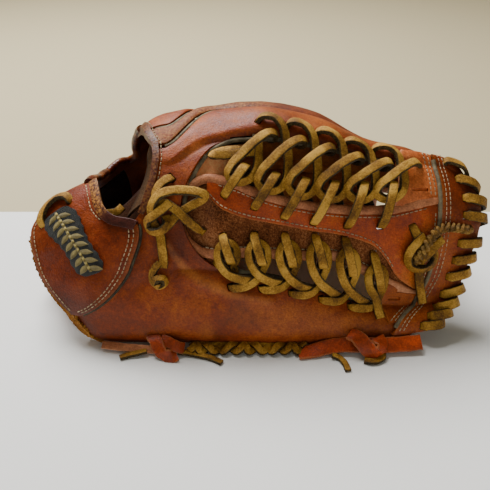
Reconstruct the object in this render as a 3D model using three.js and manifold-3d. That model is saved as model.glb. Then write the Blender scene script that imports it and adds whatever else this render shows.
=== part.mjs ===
// A baseball infield glove for the left hand, lying on its pocket.
//
// The glove is laid out as it is cut, in three glove coordinates, and then bent over an arch:
//   x     place along the hand, from the wrist (-) to the fingertips (+), in millimetres
//   seam  place across the glove, counted in seams: 0 is the thumb's outer edge, 1 the thumb's
//         inner edge, 2 the index finger's edge at the web, 3, 4 and 5 the seams between the
//         fingers, and 6 the little finger's outer edge
//   out   height above the welted seams, in millimetres: the backs stand out (+), and the palm
//         leather and the pocket lie inside (-)
import * as THREE from "three";
import Module from "manifold-3d";

const wasm = await Module();
wasm.setup();

// Driving sizes, in millimetres
const LEATHER = 2.4; // thickness of the shell leather
const GAP = 0.3; // clearance between pieces that touch
const WELT = 1.0; // radius of the welts sewn into the seams

// The arch's cross-section where it is tallest: one row for each seam. The outer edges are cut a
// little below the floor, which flattens the leather that lies on it
const SEAMS = [
  { name: "thumb_edge", y: -67, z: -0.8, rise: "low" },
  { name: "thumb_top", y: -57, z: 44, rise: "thumb" },
  { name: "index_low", y: -16, z: 115, rise: "web" },
  { name: "index_top", y: 17, z: 124, rise: "crown" },
  { name: "middle_top", y: 49, z: 107, rise: "crown" },
  { name: "ring_top", y: 72, z: 68, rise: "crown" },
  { name: "pinky_edge", y: 77, z: -0.8, rise: "low" },
];
// How the arch shrinks along the hand. wide scales every y, low the height of the outer edges,
// thumb the thumb's inner edge, web the index finger's edge at the web, and crown the fingers
const STATIONS = [
  { x: -148, wide: 0.66, low: 1.0, thumb: 0.72, web: 0.5, crown: 0.36 },
  { x: -120, wide: 0.84, low: 1.0, thumb: 0.92, web: 0.64, crown: 0.49 },
  { x: -96, wide: 0.97, low: 1.0, thumb: 1.04, web: 0.74, crown: 0.645 },
  { x: -68, wide: 1.0, low: 1.0, thumb: 1.1, web: 0.92, crown: 0.9 },
  { x: -34, wide: 1.0, low: 1.0, thumb: 1.12, web: 0.965, crown: 0.955 },
  { x: 6, wide: 1.0, low: 1.0, thumb: 1.0, web: 1.0, crown: 0.975 },
  { x: 41, wide: 1.0, low: 1.0, thumb: 0.76, web: 0.95, crown: 0.915 },
  { x: 72, wide: 0.97, low: 1.0, thumb: 0.5, web: 0.88, crown: 0.78 },
  { x: 105, wide: 0.88, low: 1.0, thumb: 0.4, web: 0.84, crown: 0.69 },
  { x: 142, wide: 0.7, low: 1.0, thumb: 0.6, web: 0.7, crown: 0.55 },
];
// How far the palm leather lies inside the seams, and how thick it is with its padding
const DEPTHS = [
  { x: -142, palm: 26, pad: 8 },
  { x: -120, palm: 34, pad: 10 },
  { x: -96, palm: 42, pad: 11 },
  { x: -68, palm: 46, pad: 10 },
  { x: -34, palm: 37, pad: 7 },
  { x: 6, palm: 27, pad: 5 },
  { x: 41, palm: 23, pad: 4 },
  { x: 105, palm: 19, pad: 3.2 },
];
// The stalls, in order across the glove. The web's place has no tip
const STALLS = [
  { name: "thumb", tip: 104 },
  { name: "web", tip: null },
  { name: "index", tip: 108 },
  { name: "middle", tip: 117 },
  { name: "ring", tip: 112 },
  { name: "pinky", tip: 98 },
];
const HOLE = { mouth: -15, depth: 29 }; // where the web's hole begins, and how far it is rounded in
const SLIT = 22; // where the fingers part
const TIP_ROUND = 15; // length over which a fingertip is rounded
const CROWN = 6; // how far a finger's back stands above its seams
const LACE = { width: 5, thick: 2 };
const PANEL_GAP = 0.8; // clearance under the base panels

const CENTRE = { x: 0.3, y: -5.4 }; // middle of the laid-out glove, which becomes the origin

// Small helpers
const clamp = (v, low, high) => Math.min(high, Math.max(low, v));
const mix = (a, b, t) => a + (b - a) * t;
const smooth = (a, b, v) => {
  const t = clamp((v - a) / (b - a), 0, 1);
  return t * t * (3 - 2 * t);
};
const series = (count, make) => Array.from({ length: count }, (_, i) => make(i));

function hermite(a, b, ta, tb, t) {
  const t2 = t * t;
  const t3 = t2 * t;
  return (2 * t3 - 3 * t2 + 1) * a + (t3 - 2 * t2 + t) * ta + (3 * t2 - 2 * t3) * b + (t3 - t2) * tb;
}

// A named column of a table, on a smooth curve through the rows
function column(rows, name, value, key = "x") {
  const last = rows.length - 1;
  const v = clamp(value, rows[0][key], rows[last][key]);
  const i = Math.min(rows.findLastIndex((r) => r[key] <= v), last - 1);
  const slope = (k) => {
    const a = rows[Math.max(k - 1, 0)];
    const b = rows[Math.min(k + 1, last)];
    return (b[name] - a[name]) / (b[key] - a[key]);
  };
  const h = rows[i + 1][key] - rows[i][key];
  const t = (v - rows[i][key]) / h;
  return hermite(rows[i][name], rows[i + 1][name], slope(i) * h, slope(i + 1) * h, t);
}

// The arch's seam points at x, each with the direction in which the arch runs through it
function archPoints(x) {
  const wide = column(STATIONS, "wide", x);
  const points = SEAMS.map((s) => ({ y: s.y * wide, z: s.z * column(STATIONS, s.rise, x) }));
  const unit = (y, z) => {
    const d = Math.hypot(y, z) || 1;
    return { y: y / d, z: z / d };
  };
  points.forEach((p, i) => {
    if (i === 0) {
      p.run = unit(-0.28, 1);
    } else if (i === points.length - 1) {
      p.run = unit(-0.12, -1);
    } else {
      const before = unit(p.y - points[i - 1].y, p.z - points[i - 1].z);
      const after = unit(points[i + 1].y - p.y, points[i + 1].z - p.z);
      p.run = unit(before.y + after.y, before.z + after.z);
    }
  });
  return points;
}

// Glove coordinates to the place in the part's frame
function place(x, seam, out) {
  const points = archPoints(x);
  const q = clamp(seam, 0, 6);
  const i = Math.min(Math.floor(q), 5);
  const a = points[i];
  const b = points[i + 1];
  const chord = Math.hypot(b.y - a.y, b.z - a.z);
  const at = (t) => ({
    y: hermite(a.y, b.y, a.run.y * chord, b.run.y * chord, t),
    z: hermite(a.z, b.z, a.run.z * chord, b.run.z * chord, t),
  });
  const t = q - i;
  const step = 0.02;
  const p = at(t);
  const before = at(t - step);
  const after = at(t + step);
  const dy = after.y - before.y;
  const dz = after.z - before.z;
  const d = Math.hypot(dy, dz);
  const z = Math.max(p.z + (dy / d) * out, 0);
  return new THREE.Vector3(x - CENTRE.x, p.y - (dz / d) * out - CENTRE.y, z);
}

// A closed solid between two skins, each given as rows of points along the hand. Rows run
// towards the fingertips and columns across the glove, and keep says which cells are there
function sheet(upper, lower, keep = () => true) {
  const rows = upper.length;
  const columns = upper[0].length;
  const positions = [...upper.flat(), ...lower.flat()].flatMap((p) => p.toArray());
  const at = (layer, i, j) => layer * rows * columns + i * columns + j;
  const there = (i, j) => i >= 0 && j >= 0 && i < rows - 1 && j < columns - 1 && keep(i, j);
  const index = [];
  const quad = (a, b, c, d) => index.push(a, b, c, a, c, d);
  const wall = (ia, ja, ib, jb) => quad(at(0, ib, jb), at(0, ia, ja), at(1, ia, ja), at(1, ib, jb));
  for (let i = 0; i < rows - 1; i++) {
    for (let j = 0; j < columns - 1; j++) {
      if (!there(i, j)) continue;
      quad(at(0, i, j), at(0, i + 1, j), at(0, i + 1, j + 1), at(0, i, j + 1));
      quad(at(1, i, j), at(1, i, j + 1), at(1, i + 1, j + 1), at(1, i + 1, j));
      if (!there(i, j - 1)) wall(i, j, i + 1, j);
      if (!there(i + 1, j)) wall(i + 1, j, i + 1, j + 1);
      if (!there(i, j + 1)) wall(i + 1, j + 1, i, j + 1);
      if (!there(i - 1, j)) wall(i, j + 1, i, j);
    }
  }
  return solid(positions, index);
}

// A geometry of the vertices that its triangles use
function solid(positions, index) {
  const used = new Map();
  const kept = [];
  const renamed = index.map((v) => {
    if (!used.has(v)) {
      used.set(v, used.size);
      kept.push(...positions.slice(3 * v, 3 * v + 3));
    }
    return used.get(v);
  });
  const geometry = new THREE.BufferGeometry();
  geometry.setAttribute("position", new THREE.Float32BufferAttribute(kept, 3));
  geometry.setIndex(renamed);
  geometry.computeVertexNormals();
  return geometry;
}

// The outlines of the cut pieces: x at each place across the glove
const mirrored = (seam) => (seam > 3 ? 6 - seam : seam);
const heelEdge = (seam) => -146 + 51 * (seam / 3 - 1) ** 4;
const holeEdge = (seam) => {
  const inside = seam > 1 && seam < 2 ? Math.sqrt(1 - (2 * seam - 3) ** 2) : 0;
  return HOLE.mouth - HOLE.depth * inside;
};
// Wrist ends of the backs: at the heel, then tucked under the base panel, then the hand opening
const BACK_START = [
  { seam: 0, x: -95 },
  { seam: 0.2, x: -105 },
  { seam: 0.42, x: -114 },
  { seam: 0.55, x: -103 },
  { seam: 0.75, x: -86 },
  { seam: 1.05, x: -77 },
  { seam: 1.34, x: -75 },
  { seam: 1.5, x: -66.8 },
  { seam: 1.88, x: -59.6 },
  { seam: 2.3, x: -64.2 },
  { seam: 3, x: -69.5 },
];
const backStart = (seam) => column(BACK_START, "x", mirrored(seam), "seam");
// A base panel: from the heel, with a rounded corner at the strap, to its seam and the opening
const PANEL = [
  { seam: 0.45, heel: -113, end: -107 },
  { seam: 0.6, heel: -120.5, end: -88 },
  { seam: 0.8, heel: -128.5, end: -76 },
  { seam: 1.05, heel: -135, end: -70.5 },
  { seam: 1.37, heel: -139.5, end: -69 },
  { seam: 1.48, heel: -140.5, end: -84 },
  { seam: 1.62, heel: -141, end: -92 },
  { seam: 1.78, heel: -137, end: -95.5 },
  { seam: 1.92, heel: -130, end: -98 },
  { seam: 2.04, heel: -118, end: -100 },
];
// The web's centre strap: the middle lines of its two rolled edges
const STRAP = [
  { x: -46, low: 1.36, high: 1.58 },
  { x: -40, low: 1.2, high: 1.655 },
  { x: -28, low: 1.12, high: 1.705 },
  { x: -14, low: 1.14, high: 1.65 },
  { x: 8, low: 1.165, high: 1.56 },
  { x: 32, low: 1.215, high: 1.555 },
  { x: 50, low: 1.262, high: 1.58 },
  { x: 67, low: 1.225, high: 1.62 },
  { x: 85, low: 1.15, high: 1.65 },
  { x: 100, low: 1.08, high: 1.695 },
  { x: 113, low: 1.04, high: 1.74 },
];
// The lower edge of the smooth leather on the strap, which ends in an S
const OVERLAY = [
  { x: -31, low: 1.645 },
  { x: -25.5, low: 1.536 },
  { x: -18, low: 1.455 },
  { x: 0, low: 1.395 },
  { x: 30, low: 1.393 },
  { x: 55, low: 1.42 },
  { x: 72, low: 1.4 },
  { x: 81, low: 1.317 },
  { x: 88, low: 1.19 },
];
// The crown over the web's top: its seam and its rim
const CROWN_BAND = [
  { seam: 0.3, inner: 86, rim: 112 },
  { seam: 0.65, inner: 93, rim: 121 },
  { seam: 1.0, inner: 102, rim: 129 },
  { seam: 1.2, inner: 111, rim: 133.5 },
  { seam: 1.5, inner: 114.5, rim: 139.5 },
  { seam: 1.8, inner: 114.5, rim: 140 },
  { seam: 2.0, inner: 112.5, rim: 133 },
  { seam: 2.2, inner: 110.5, rim: 121 },
];

// Height of a back's leather above the seams: a low swell over the wrist, a crown on each stall
function backHeight(x, seam) {
  const t = (seam % 1) * 2 - 1;
  const crown = CROWN * (1 - t * t) ** 0.7;
  const outer = Math.min(1, 6 * seam, 6 * (6 - seam));
  return mix(2.6 * outer, crown, smooth(-70, 10, x));
}
// Height of whatever lies under the web's pieces: a stall's back, or the open web
const under = (x, seam) => (seam > 1 && seam < 2 ? 0 : backHeight(x, seam));

// Towards the hand opening the seams between the fingers run together
const GATHER = [
  { seam: 1.4, to: 1.4 },
  { seam: 2, to: 1.8 },
  { seam: 3, to: 2.02 },
  { seam: 4, to: 2.5 },
  { seam: 5, to: 3.3 },
  { seam: 6, to: 6 },
];
function gathered(x, seam) {
  if (seam <= 1.4) return seam;
  const i = Math.min(GATHER.findLastIndex((g) => g.seam <= seam), GATHER.length - 2);
  const a = GATHER[i];
  const b = GATHER[i + 1];
  const to = mix(a.to, b.to, (seam - a.seam) / (b.seam - a.seam));
  return mix(seam, to, smooth(-24, -54.5, x));
}

// Place across of a back's column: a back's edges stay clear of its seams all the way
const EDGE = 0.04; // how far a back's edge stays from its seam, in seams
const STALL_WIDTH = 40; // length of a back across the glove, in millimetres for one seam
function backEdge(x, seam, side) {
  const slope = (STALL_WIDTH * (gathered(x + 1, seam) - gathered(x - 1, seam))) / 2;
  return gathered(x, seam) + side * EDGE * Math.hypot(1, slope);
}
function backSeam(x, seam) {
  if (seam < 2) return gathered(x, seam);
  const stall = Math.min(Math.floor(seam), 5);
  const t = (seam - stall - EDGE) / (1 - 2 * EDGE);
  return mix(backEdge(x, stall, 1), backEdge(x, stall + 1, -1), t);
}

// Depth of the palm leather below the seams: one hollow for the palm, one for each stall
const LIP = LEATHER + GAP; // the palm leather's edges stop under the backs' leather
function palmDepth(x, stall, across) {
  const seam = stall + 0.5 - 0.47 * Math.cos(Math.PI * across);
  const palm = column(DEPTHS, "palm", x);
  const whole = (1 - Math.abs(seam / 3 - 1) ** 2.6) ** (1 / 2.2);
  const single = Math.sin(Math.PI * across) ** 0.6;
  const part = mix(whole, STALLS[stall].tip ? single : 0.3, smooth(-40, 15, x));
  const near = smooth(0, 30, holeEdge(seam) - x);
  const rise = STALLS[stall].tip ? 1 : near;
  return { seam, depth: (palm - LIP) * part * rise };
}

// Rows along the hand: from the start to the hole's edge, to the slits, and to each tip
const ROWS = { palm: 9, hole: 3, finger: 6 };
const ROW_COUNT = ROWS.palm + ROWS.hole + ROWS.finger + 1;
function rowPlace(row, seam, start, tip) {
  const hole = holeEdge(seam);
  if (row <= ROWS.palm) return mix(start, hole, row / ROWS.palm);
  const mouth = ROWS.palm + ROWS.hole;
  if (row <= mouth) return mix(hole, SLIT, (row - ROWS.palm) / ROWS.hole);
  const t = (row - mouth) / ROWS.finger;
  return mix(SLIT, tip, 0.5 * Math.sin((t * Math.PI) / 2) ** 0.9 + 0.5 * t);
}
// How a stall narrows towards its tip: 1 along it, and 0 at the very end
const tipShape = (x, tip) => Math.sqrt(1 - clamp((x - (tip - TIP_ROUND)) / TIP_ROUND, 0, 1) ** 2);

const COLUMNS = { finger: 5, web: 7 };
function palmShell() {
  const slots = STALLS.flatMap((stall, i) => {
    const count = stall.tip ? COLUMNS.finger : COLUMNS.web;
    return series(count, (c) => ({ stall: i, across: c / (count - 1) }));
  });
  const skin = (inner) =>
    series(ROW_COUNT, (row) =>
      slots.map(({ stall, across }) => {
        const tip = STALLS[stall].tip ?? SLIT;
        const { seam } = palmDepth(0, stall, across);
        const x = rowPlace(row, seam, heelEdge(seam), tip);
        const { depth } = palmDepth(x, stall, across);
        const pad = column(DEPTHS, "pad", x);
        const end = STALLS[stall].tip ? tipShape(x, tip) : 1;
        const centre = stall + 0.5;
        const edge = across === 0 || across === 1;
        const wall = 0.075 * Math.sign(centre - seam) * (row > ROWS.palm ? 1 : smooth(-60, 0, x));
        const q = inner && edge ? seam + wall : seam;
        const low = depth * end;
        const inside = Math.max(LIP, LIP + low - pad);
        const outside = Math.max(LIP + low, LIP + (1 - end) * LEATHER);
        const narrowed = centre + (q - centre) * mix(0.4, 1, end);
        return place(inner ? Math.min(x, tip - 1.5) : x, narrowed, inner ? -inside : -outside);
      }),
    );
  const bridge = (j) => slots[j].stall !== slots[j + 1].stall;
  const web = (j) => !STALLS[slots[j].stall].tip || !STALLS[slots[j + 1].stall].tip;
  const keep = (i, j) => {
    if (i < ROWS.palm) return true;
    if (web(j)) return false;
    return i < ROWS.palm + ROWS.hole || !bridge(j);
  };
  return sheet(skin(true), skin(false), keep);
}

// A back between two places across the glove, with a crown over each stall
function back(columns, tips, keep) {
  const skin = (drop) =>
    series(ROW_COUNT, (row) =>
      columns.map((seam) => {
        const stall = Math.min(Math.floor(seam), 5);
        const tip = tips[stall] ?? SLIT;
        const x = rowPlace(row, seam, backStart(gathered(-70, seam)), tip);
        const end = tips[stall] ? tipShape(x, tip) : 1;
        const centre = stall + 0.5;
        const q = centre + (seam - centre) * mix(0.4, 1, end);
        return place(x, backSeam(x, q), backHeight(x, seam) * end - drop);
      }),
    );
  return sheet(skin(0), skin(LEATHER), keep);
}

// A flat piece between two outlines, with a thickness, over heights given by a function
function piece(rows, columns, spot, height, thick) {
  const skin = (drop) =>
    series(rows, (i) =>
      series(columns, (j) => {
        const { x, seam } = spot(i / (rows - 1), j / (columns - 1));
        return place(x, seam, height(x, seam) + thick - drop);
      }),
    );
  return sheet(skin(0), skin(thick));
}

// A closed solid through rings of points, each ring in the same order
function loft(rings, outline) {
  const count = rings[0].length;
  const positions = rings.flat().flatMap((p) => p.toArray());
  const index = [];
  for (let i = 0; i < rings.length - 1; i++) {
    for (let k = 0; k < count; k++) {
      const a = i * count + k;
      const b = i * count + ((k + 1) % count);
      index.push(a, b, b + count, a, b + count, a + count);
    }
  }
  const last = (rings.length - 1) * count;
  const cap = outline
    ? THREE.ShapeUtils.triangulateShape(outline, [])
    : series(count - 2, (k) => [0, k + 1, k + 2]);
  const clockwise = outline && THREE.ShapeUtils.area(outline) < 0;
  cap.forEach(([a, b, c]) => {
    const [d, e] = clockwise ? [c, b] : [b, c];
    index.push(a, e, d, last + a, last + d, last + e);
  });
  return facingOut(solid(positions, index));
}

// The same geometry with its faces turned outwards
function facingOut(geometry) {
  const p = geometry.attributes.position;
  const index = geometry.index.array;
  const [a, b, c] = series(3, () => new THREE.Vector3());
  let volume = 0;
  for (let i = 0; i < index.length; i += 3) {
    [a, b, c].forEach((v, k) => v.fromBufferAttribute(p, index[i + k]));
    volume += a.dot(b.cross(c));
  }
  if (volume < 0) {
    for (let i = 0; i < index.length; i += 3) [index[i], index[i + 1]] = [index[i + 1], index[i]];
    geometry.computeVertexNormals();
  }
  return geometry;
}

// What is left of a geometry where another one is taken away
function cut(geometry, tool) {
  const body = (g) => {
    const vertProperties = new Float32Array(g.attributes.position.array);
    const triVerts = new Uint32Array(g.index.array);
    return new wasm.Manifold(new wasm.Mesh({ numProp: 3, vertProperties, triVerts }));
  };
  const left = body(geometry).subtract(body(tool)).decompose();
  const mesh = left.sort((a, b) => b.volume() - a.volume())[0].getMesh();
  const result = new THREE.BufferGeometry();
  result.setAttribute("position", new THREE.Float32BufferAttribute(mesh.vertProperties, 3));
  result.setIndex([...mesh.triVerts]);
  result.computeVertexNormals();
  return result;
}

// Surface normal of the arch
const rise = (x, seam) => place(x, seam, 20).sub(place(x, seam, 19)).normalize();

// A strip along a route. Each stop of the route has a place and an up direction. In a bend the
// strip leans outwards, and where it runs straight up or down it keeps its way
const LEAN = 7; // how strongly a bent strip leans, in millimetres of bend radius
function stripRings(stops, options = {}) {
  const { width = LACE.width, thick = LACE.thick, steps = 1, lean = LEAN, sides = 4 } = options;
  const curve = new THREE.CatmullRomCurve3(stops.map((s) => s.at), false, "centripetal");
  const count = (stops.length - 1) * steps;
  const samples = series(count + 1, (i) => curve.getPoint(i / count));
  const along = samples.map((p, i) => {
    const before = samples[Math.max(i - 1, 0)];
    const after = samples[Math.min(i + 1, count)];
    return after.clone().sub(before);
  });
  let kept = null;
  return samples.map((p, i) => {
    const t = along[i].clone().normalize();
    const square = (v) => v.addScaledVector(t, -v.dot(t));
    const stop = Math.min(Math.floor(i / steps), stops.length - 2);
    const up = square(stops[stop].up.clone().lerp(stops[stop + 1].up, i / steps - stop));
    const carried = square((kept ?? up).clone()).normalize();
    if (up.dot(carried) < 0) up.negate();
    if (i > 0 && i < count) {
      const bend = along[i + 1].clone().normalize().sub(along[i - 1].clone().normalize());
      const outward = square(bend.multiplyScalar(-lean / along[i].length()));
      const turned = outward.dot(carried);
      if (turned < 0) outward.addScaledVector(carried, -2 * turned);
      up.add(outward);
    }
    const strength = clamp(up.length() / 0.7, 0, 1) ** 2;
    up.normalize().multiplyScalar(strength).addScaledVector(carried, 1 - strength * 0.8).normalize();
    kept = up;
    const side = t.clone().cross(up);
    return series(sides, (k) => {
      const angle = ((k + 0.5) / sides) * 2 * Math.PI;
      const corner = sides === 4 ? Math.SQRT1_2 : 0.5;
      const s = Math.cos(angle) * width * corner;
      const u = Math.sin(angle) * thick * corner;
      const point = p.clone().addScaledVector(side, s).addScaledVector(up, u);
      return point.setZ(Math.max(point.z, 0));
    });
  });
}
const strip = (stops, options) => loft(stripRings(stops, options));
// A stop in glove coordinates, and one in the part's frame
const on = (x, seam, out) => ({ at: place(x, seam, out), up: rise(x, seam) });
const facing = (stop, up) => ({ ...stop, up });
const X_AXIS = new THREE.Vector3(1, 0, 0);
const X_BACK = new THREE.Vector3(-1, 0, 0);
const Z_UP = new THREE.Vector3(0, 0, 1);
const level = (x, y, z, up = Z_UP) => ({ at: new THREE.Vector3(x - CENTRE.x, y - CENTRE.y, z), up });

// Colours of the leathers
const leather = (color, roughness = 0.55) =>
  new THREE.MeshStandardMaterial({ color, roughness, metalness: 0 });
const MATERIALS = {
  shell: leather("#a34a26"),
  panel: leather("#8f3f24"),
  palm: leather("#b0683c"),
  suede: leather("#4a2a1b", 0.95),
  orange: leather("#c0552c"),
  strap: leather("#c8431f"),
  pink: leather("#b8705a"),
  welt: leather("#5b3a2a"),
  lace: leather("#8a7034", 0.7),
  patch: leather("#33394a", 0.9),
};

const glove = new THREE.Group();
function add(name, geometry, material) {
  const mesh = new THREE.Mesh(geometry, material);
  mesh.name = name;
  glove.add(mesh);
  return mesh;
}

// The shell
const across = (from, to, count) => series(count, (i) => mix(from, to, i / (count - 1)));
const tipsOf = (...names) => STALLS.map((s) => (names.includes(s.name) ? s.tip : null));
add("palm_shell", palmShell(), MATERIALS.palm);
const backColumns = [
  ...across(0, 1 - EDGE, 5),
  ...across(1 + EDGE, 2 - EDGE, 7),
  ...across(2 + EDGE, 3 - EDGE, 5),
];
const besideHole = (i, j) => i < ROWS.palm || j < 4 || j > 11;
add("thumb_index_back", back(backColumns, tipsOf("thumb", "index"), besideHole), MATERIALS.shell);
["middle", "ring", "pinky"].forEach((name, i) => {
  const columns = across(3 + i + EDGE, name === "pinky" ? 6 : 4 + i - EDGE, 5);
  add(`${name}_back`, back(columns, tipsOf(name)), MATERIALS.shell);
});

// The wrist: two base panels over the backs' ends, and the strap under the panels' corners
const overBack = (x, seam) => backHeight(x, seam) + PANEL_GAP;
const panelSpot = (side) => (u, v) => {
  const s = mix(PANEL[0].seam, PANEL.at(-1).seam, v);
  const x = mix(column(PANEL, "heel", s, "seam"), column(PANEL, "end", s, "seam"), u);
  return { x, seam: side > 0 ? s : 6 - s };
};
const panel = (side) => facingOut(piece(7, 12, panelSpot(side), overBack, LEATHER));
add("thumb_base_panel", panel(1), MATERIALS.panel);
add("pinky_base_panel", panel(-1), MATERIALS.panel);
const strapSpot = (u, v) => {
  const round = Math.sqrt(1 - (2 * v - 1) ** 6);
  return { x: -121 + (2 * u - 1) * 16.5 * mix(0.55, 1, round), seam: mix(1.86, 4.14, v) };
};
const tucked = (x, seam) => backHeight(x, seam) - LEATHER;
add("wrist_strap", piece(4, 11, strapSpot, tucked, LEATHER), MATERIALS.shell);

// Welts: in the valleys between the backs, and round the web's hole
function tube(stops, radius, sides = 6, steps = 1) {
  return strip(stops, { width: 2 * radius, thick: 2 * radius, sides, steps, lean: 0 });
}
[
  { name: "index_welt", seam: 3 },
  { name: "middle_welt", seam: 4 },
  { name: "ring_welt", seam: 5 },
].forEach(({ name, seam }) => {
  const start = backStart(gathered(-70, seam));
  const rows = series(ROWS.palm + ROWS.hole, (i) => rowPlace(i + 1, seam, start, SLIT));
  const places = [start + 6.2, ...rows.filter((x) => x > start + 8), 43, 64, 84];
  const stops = places.map((x) => on(x, gathered(x, seam), -0.2));
  add(name, tube(stops, WELT), MATERIALS.welt);
});
const WELT_OUT = -0.7;
const holeSide = (seam, tip, last) => {
  const rows = series(6, (i) => rowPlace(ROWS.palm + 1 + i, seam, 0, tip));
  return [HOLE.mouth + 1, ...rows.filter((x) => x < last), last].map((x) => on(x, seam, WELT_OUT));
};
const upperHoleStops = [
  ...holeSide(2.003, 108, 84).reverse(),
  ...across(2 - EDGE, 1 + EDGE, 7).slice(0, 5).map((seam) => {
    const side = 2 * seam - 3;
    const inside = Math.sqrt(1 - side ** 2);
    const x = HOLE.mouth - (HOLE.depth - WELT - 0.5) * inside;
    return on(x, gathered(x, 1.5 + 0.483 * side), WELT_OUT);
  }),
];
add("web_hole_welt", tube(upperHoleStops, WELT), MATERIALS.welt);
add("thumb_hole_welt", tube(holeSide(1.005, 104, 79), WELT), MATERIALS.welt);

// The web: a suede strap with rolled edges and a smooth overlay, and the crown over its top
const ROLL = { width: 5.8, thick: 3.4 };
const SEAM_MM = 82; // length of the web's place across, in millimetres for one seam
const innerEdge = (seam) => column(CROWN_BAND, "inner", seam, "seam") - 3.6;
const rollEdge = (x) => mix(ROLL.width / 2 + GAP, 7.5, smooth(-20, -36, x)) / SEAM_MM;
const strapLow = (x) => column(STRAP, "low", x) + rollEdge(x);
const strapHigh = (x) => column(STRAP, "high", x) - rollEdge(x);
const rootDip = (x) => 3.6 * smooth(-22, -34, x); // the web's root goes under the hole's edge
const strapSpan = (low, from) => (u, v) => {
  const end = innerEdge(mix(low(108), strapHigh(108), v));
  const x = mix(from, end, u);
  return { x, seam: mix(low(x), strapHigh(x), v) };
};
add("web_strap", piece(14, 4, strapSpan(strapLow, -37.5), (x) => -2 - rootDip(x), 2), MATERIALS.suede);
const overlayLow = (x) => Math.max(column(OVERLAY, "low", x), strapLow(x));
add("web_overlay", piece(15, 4, strapSpan(overlayLow, -28.5), () => GAP, 1.7), MATERIALS.orange);
["low", "high"].forEach((side) => {
  const end = innerEdge(column(STRAP, side, 108)) - 0.5;
  const stops = series(15, (i) => {
    const x = mix(-45, end, i / 14);
    return on(x, column(STRAP, side, x), -0.6 - rootDip(x));
  });
  const geometry = strip(stops, { ...ROLL, sides: 6, steps: 1, lean: 0 });
  add(side === "low" ? "web_roll_lower" : "web_roll_upper", geometry, MATERIALS.pink);
});
const crownSpot = (u, v) => {
  const seam = mix(CROWN_BAND[0].seam, CROWN_BAND.at(-1).seam, v);
  const inner = column(CROWN_BAND, "inner", seam, "seam");
  const rim = column(CROWN_BAND, "rim", seam, "seam");
  return { x: mix(inner, rim, u), seam };
};
add("web_crown", piece(4, 15, crownSpot, (x, seam) => under(x, seam) + GAP, 3.4), MATERIALS.shell);

const coverSpot = (rows, top) => (u, v) => {
  const seam = mix(rows[0].seam, top, v);
  return { x: mix(column(rows, "start", seam, "seam"), innerEdge(seam), u), seam };
};
const INDEX_TAB = [
  { seam: 1.8, start: 94 },
  { seam: 1.9, start: 88 },
  { seam: 2.05, start: 86.5 },
  { seam: 2.15, start: 90 },
];
const THUMB_TAB = [
  { seam: 0.55, start: 83 },
  { seam: 0.75, start: 82 },
  { seam: 0.98, start: 84 },
];
const overUnder = (x, seam) => under(x, seam) + GAP;
add("index_tip_tab", piece(4, 6, coverSpot(INDEX_TAB, 2.15), overUnder, 2), MATERIALS.panel);
add("thumb_tip_tab", piece(3, 5, coverSpot(THUMB_TAB, 0.98), overUnder, 2), MATERIALS.pink);
const crownStops = series(13, (i) => {
  const seam = mix(CROWN_BAND[0].seam, CROWN_BAND.at(-1).seam, (i + 1) / 14);
  return on(column(CROWN_BAND, "inner", seam, "seam") - 1.8, seam, under(113, seam) + 1.9);
});
add("crown_welt", tube(crownStops, 0.75), MATERIALS.welt);

// Bindings: a strip folded over the edge of the leather, seen as a U across the edge
const BINDING = [
  { in: 5, up: 1.6 },
  { in: 5, up: 0.4 },
  { in: -0.4, up: 0.4 },
  { in: -0.4, up: -2.8 },
  { in: 3, up: -2.8 },
  { in: 3, up: -3.7 },
  { in: -1.6, up: -3.7 },
  { in: -1.6, up: 1.6 },
];
const BINDING_OUTLINE = BINDING.map((p) => new THREE.Vector2(p.in, p.up));
function binding(edge, toward) {
  const ring = ({ x, seam, top }) => BINDING.map((p) => place(x + toward * p.in, seam, top + p.up));
  return loft(edge.map(ring), BINDING_OUTLINE);
}
const openingColumns = [
  ...across(1 + EDGE, 2 - EDGE, 7).slice(3),
  ...[2, 3, 4, 5].flatMap((s) => across(s + EDGE, s + 1 - EDGE, 5)),
];
const openingEdge = openingColumns
  .map((seam) => {
    const x = backStart(gathered(-70, seam));
    return { x, seam: backSeam(x, seam), top: backHeight(x, seam) };
  })
  .filter(({ seam }) => seam < 4.6);
add("finger_opening_binding", binding(openingEdge, 1), MATERIALS.panel);
const PANEL_COLUMNS = 12;
const panelEdge = (side) =>
  series(PANEL_COLUMNS, (j) => mix(PANEL[0].seam, PANEL.at(-1).seam, j / (PANEL_COLUMNS - 1)))
    .filter((s) => s > 1.55)
    .map((s) => {
      const x = column(PANEL, "end", s, "seam");
      return { x, seam: side > 0 ? s : 6 - s, top: overBack(x, s) + LEATHER };
    });
add("thumb_opening_binding", binding(panelEdge(1), -1), MATERIALS.pink);
add("pinky_opening_binding", binding(panelEdge(-1), -1), MATERIALS.pink);

// The patch on the thumb base panel: a long badge with round ends
const PATCH = { from: { x: -124, seam: 1.72 }, to: { x: -98, seam: 1.0 }, half: 7.5 };
const patchSpot = (u, v) => {
  const end = Math.sqrt(1 - (2 * u - 1) ** 4);
  const across = (2 * v - 1) * PATCH.half * mix(0.45, 1, end);
  return {
    x: mix(PATCH.from.x, PATCH.to.x, u) + across * 0.9,
    seam: mix(PATCH.from.seam, PATCH.to.seam, u) + (across * 0.45) / SEAM_MM,
  };
};
const onPanel = (x, seam) => backHeight(x, seam) + PANEL_GAP + LEATHER + 0.5;
add("patch", facingOut(piece(9, 5, patchSpot, onPanel, 1.6)), MATERIALS.patch);

// Laces. Each has a route, and is threaded through the leathers that it names
const laces = [];
const lace = (name, stops, through = [], options = {}) => laces.push({ name, stops, through, options });

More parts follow.
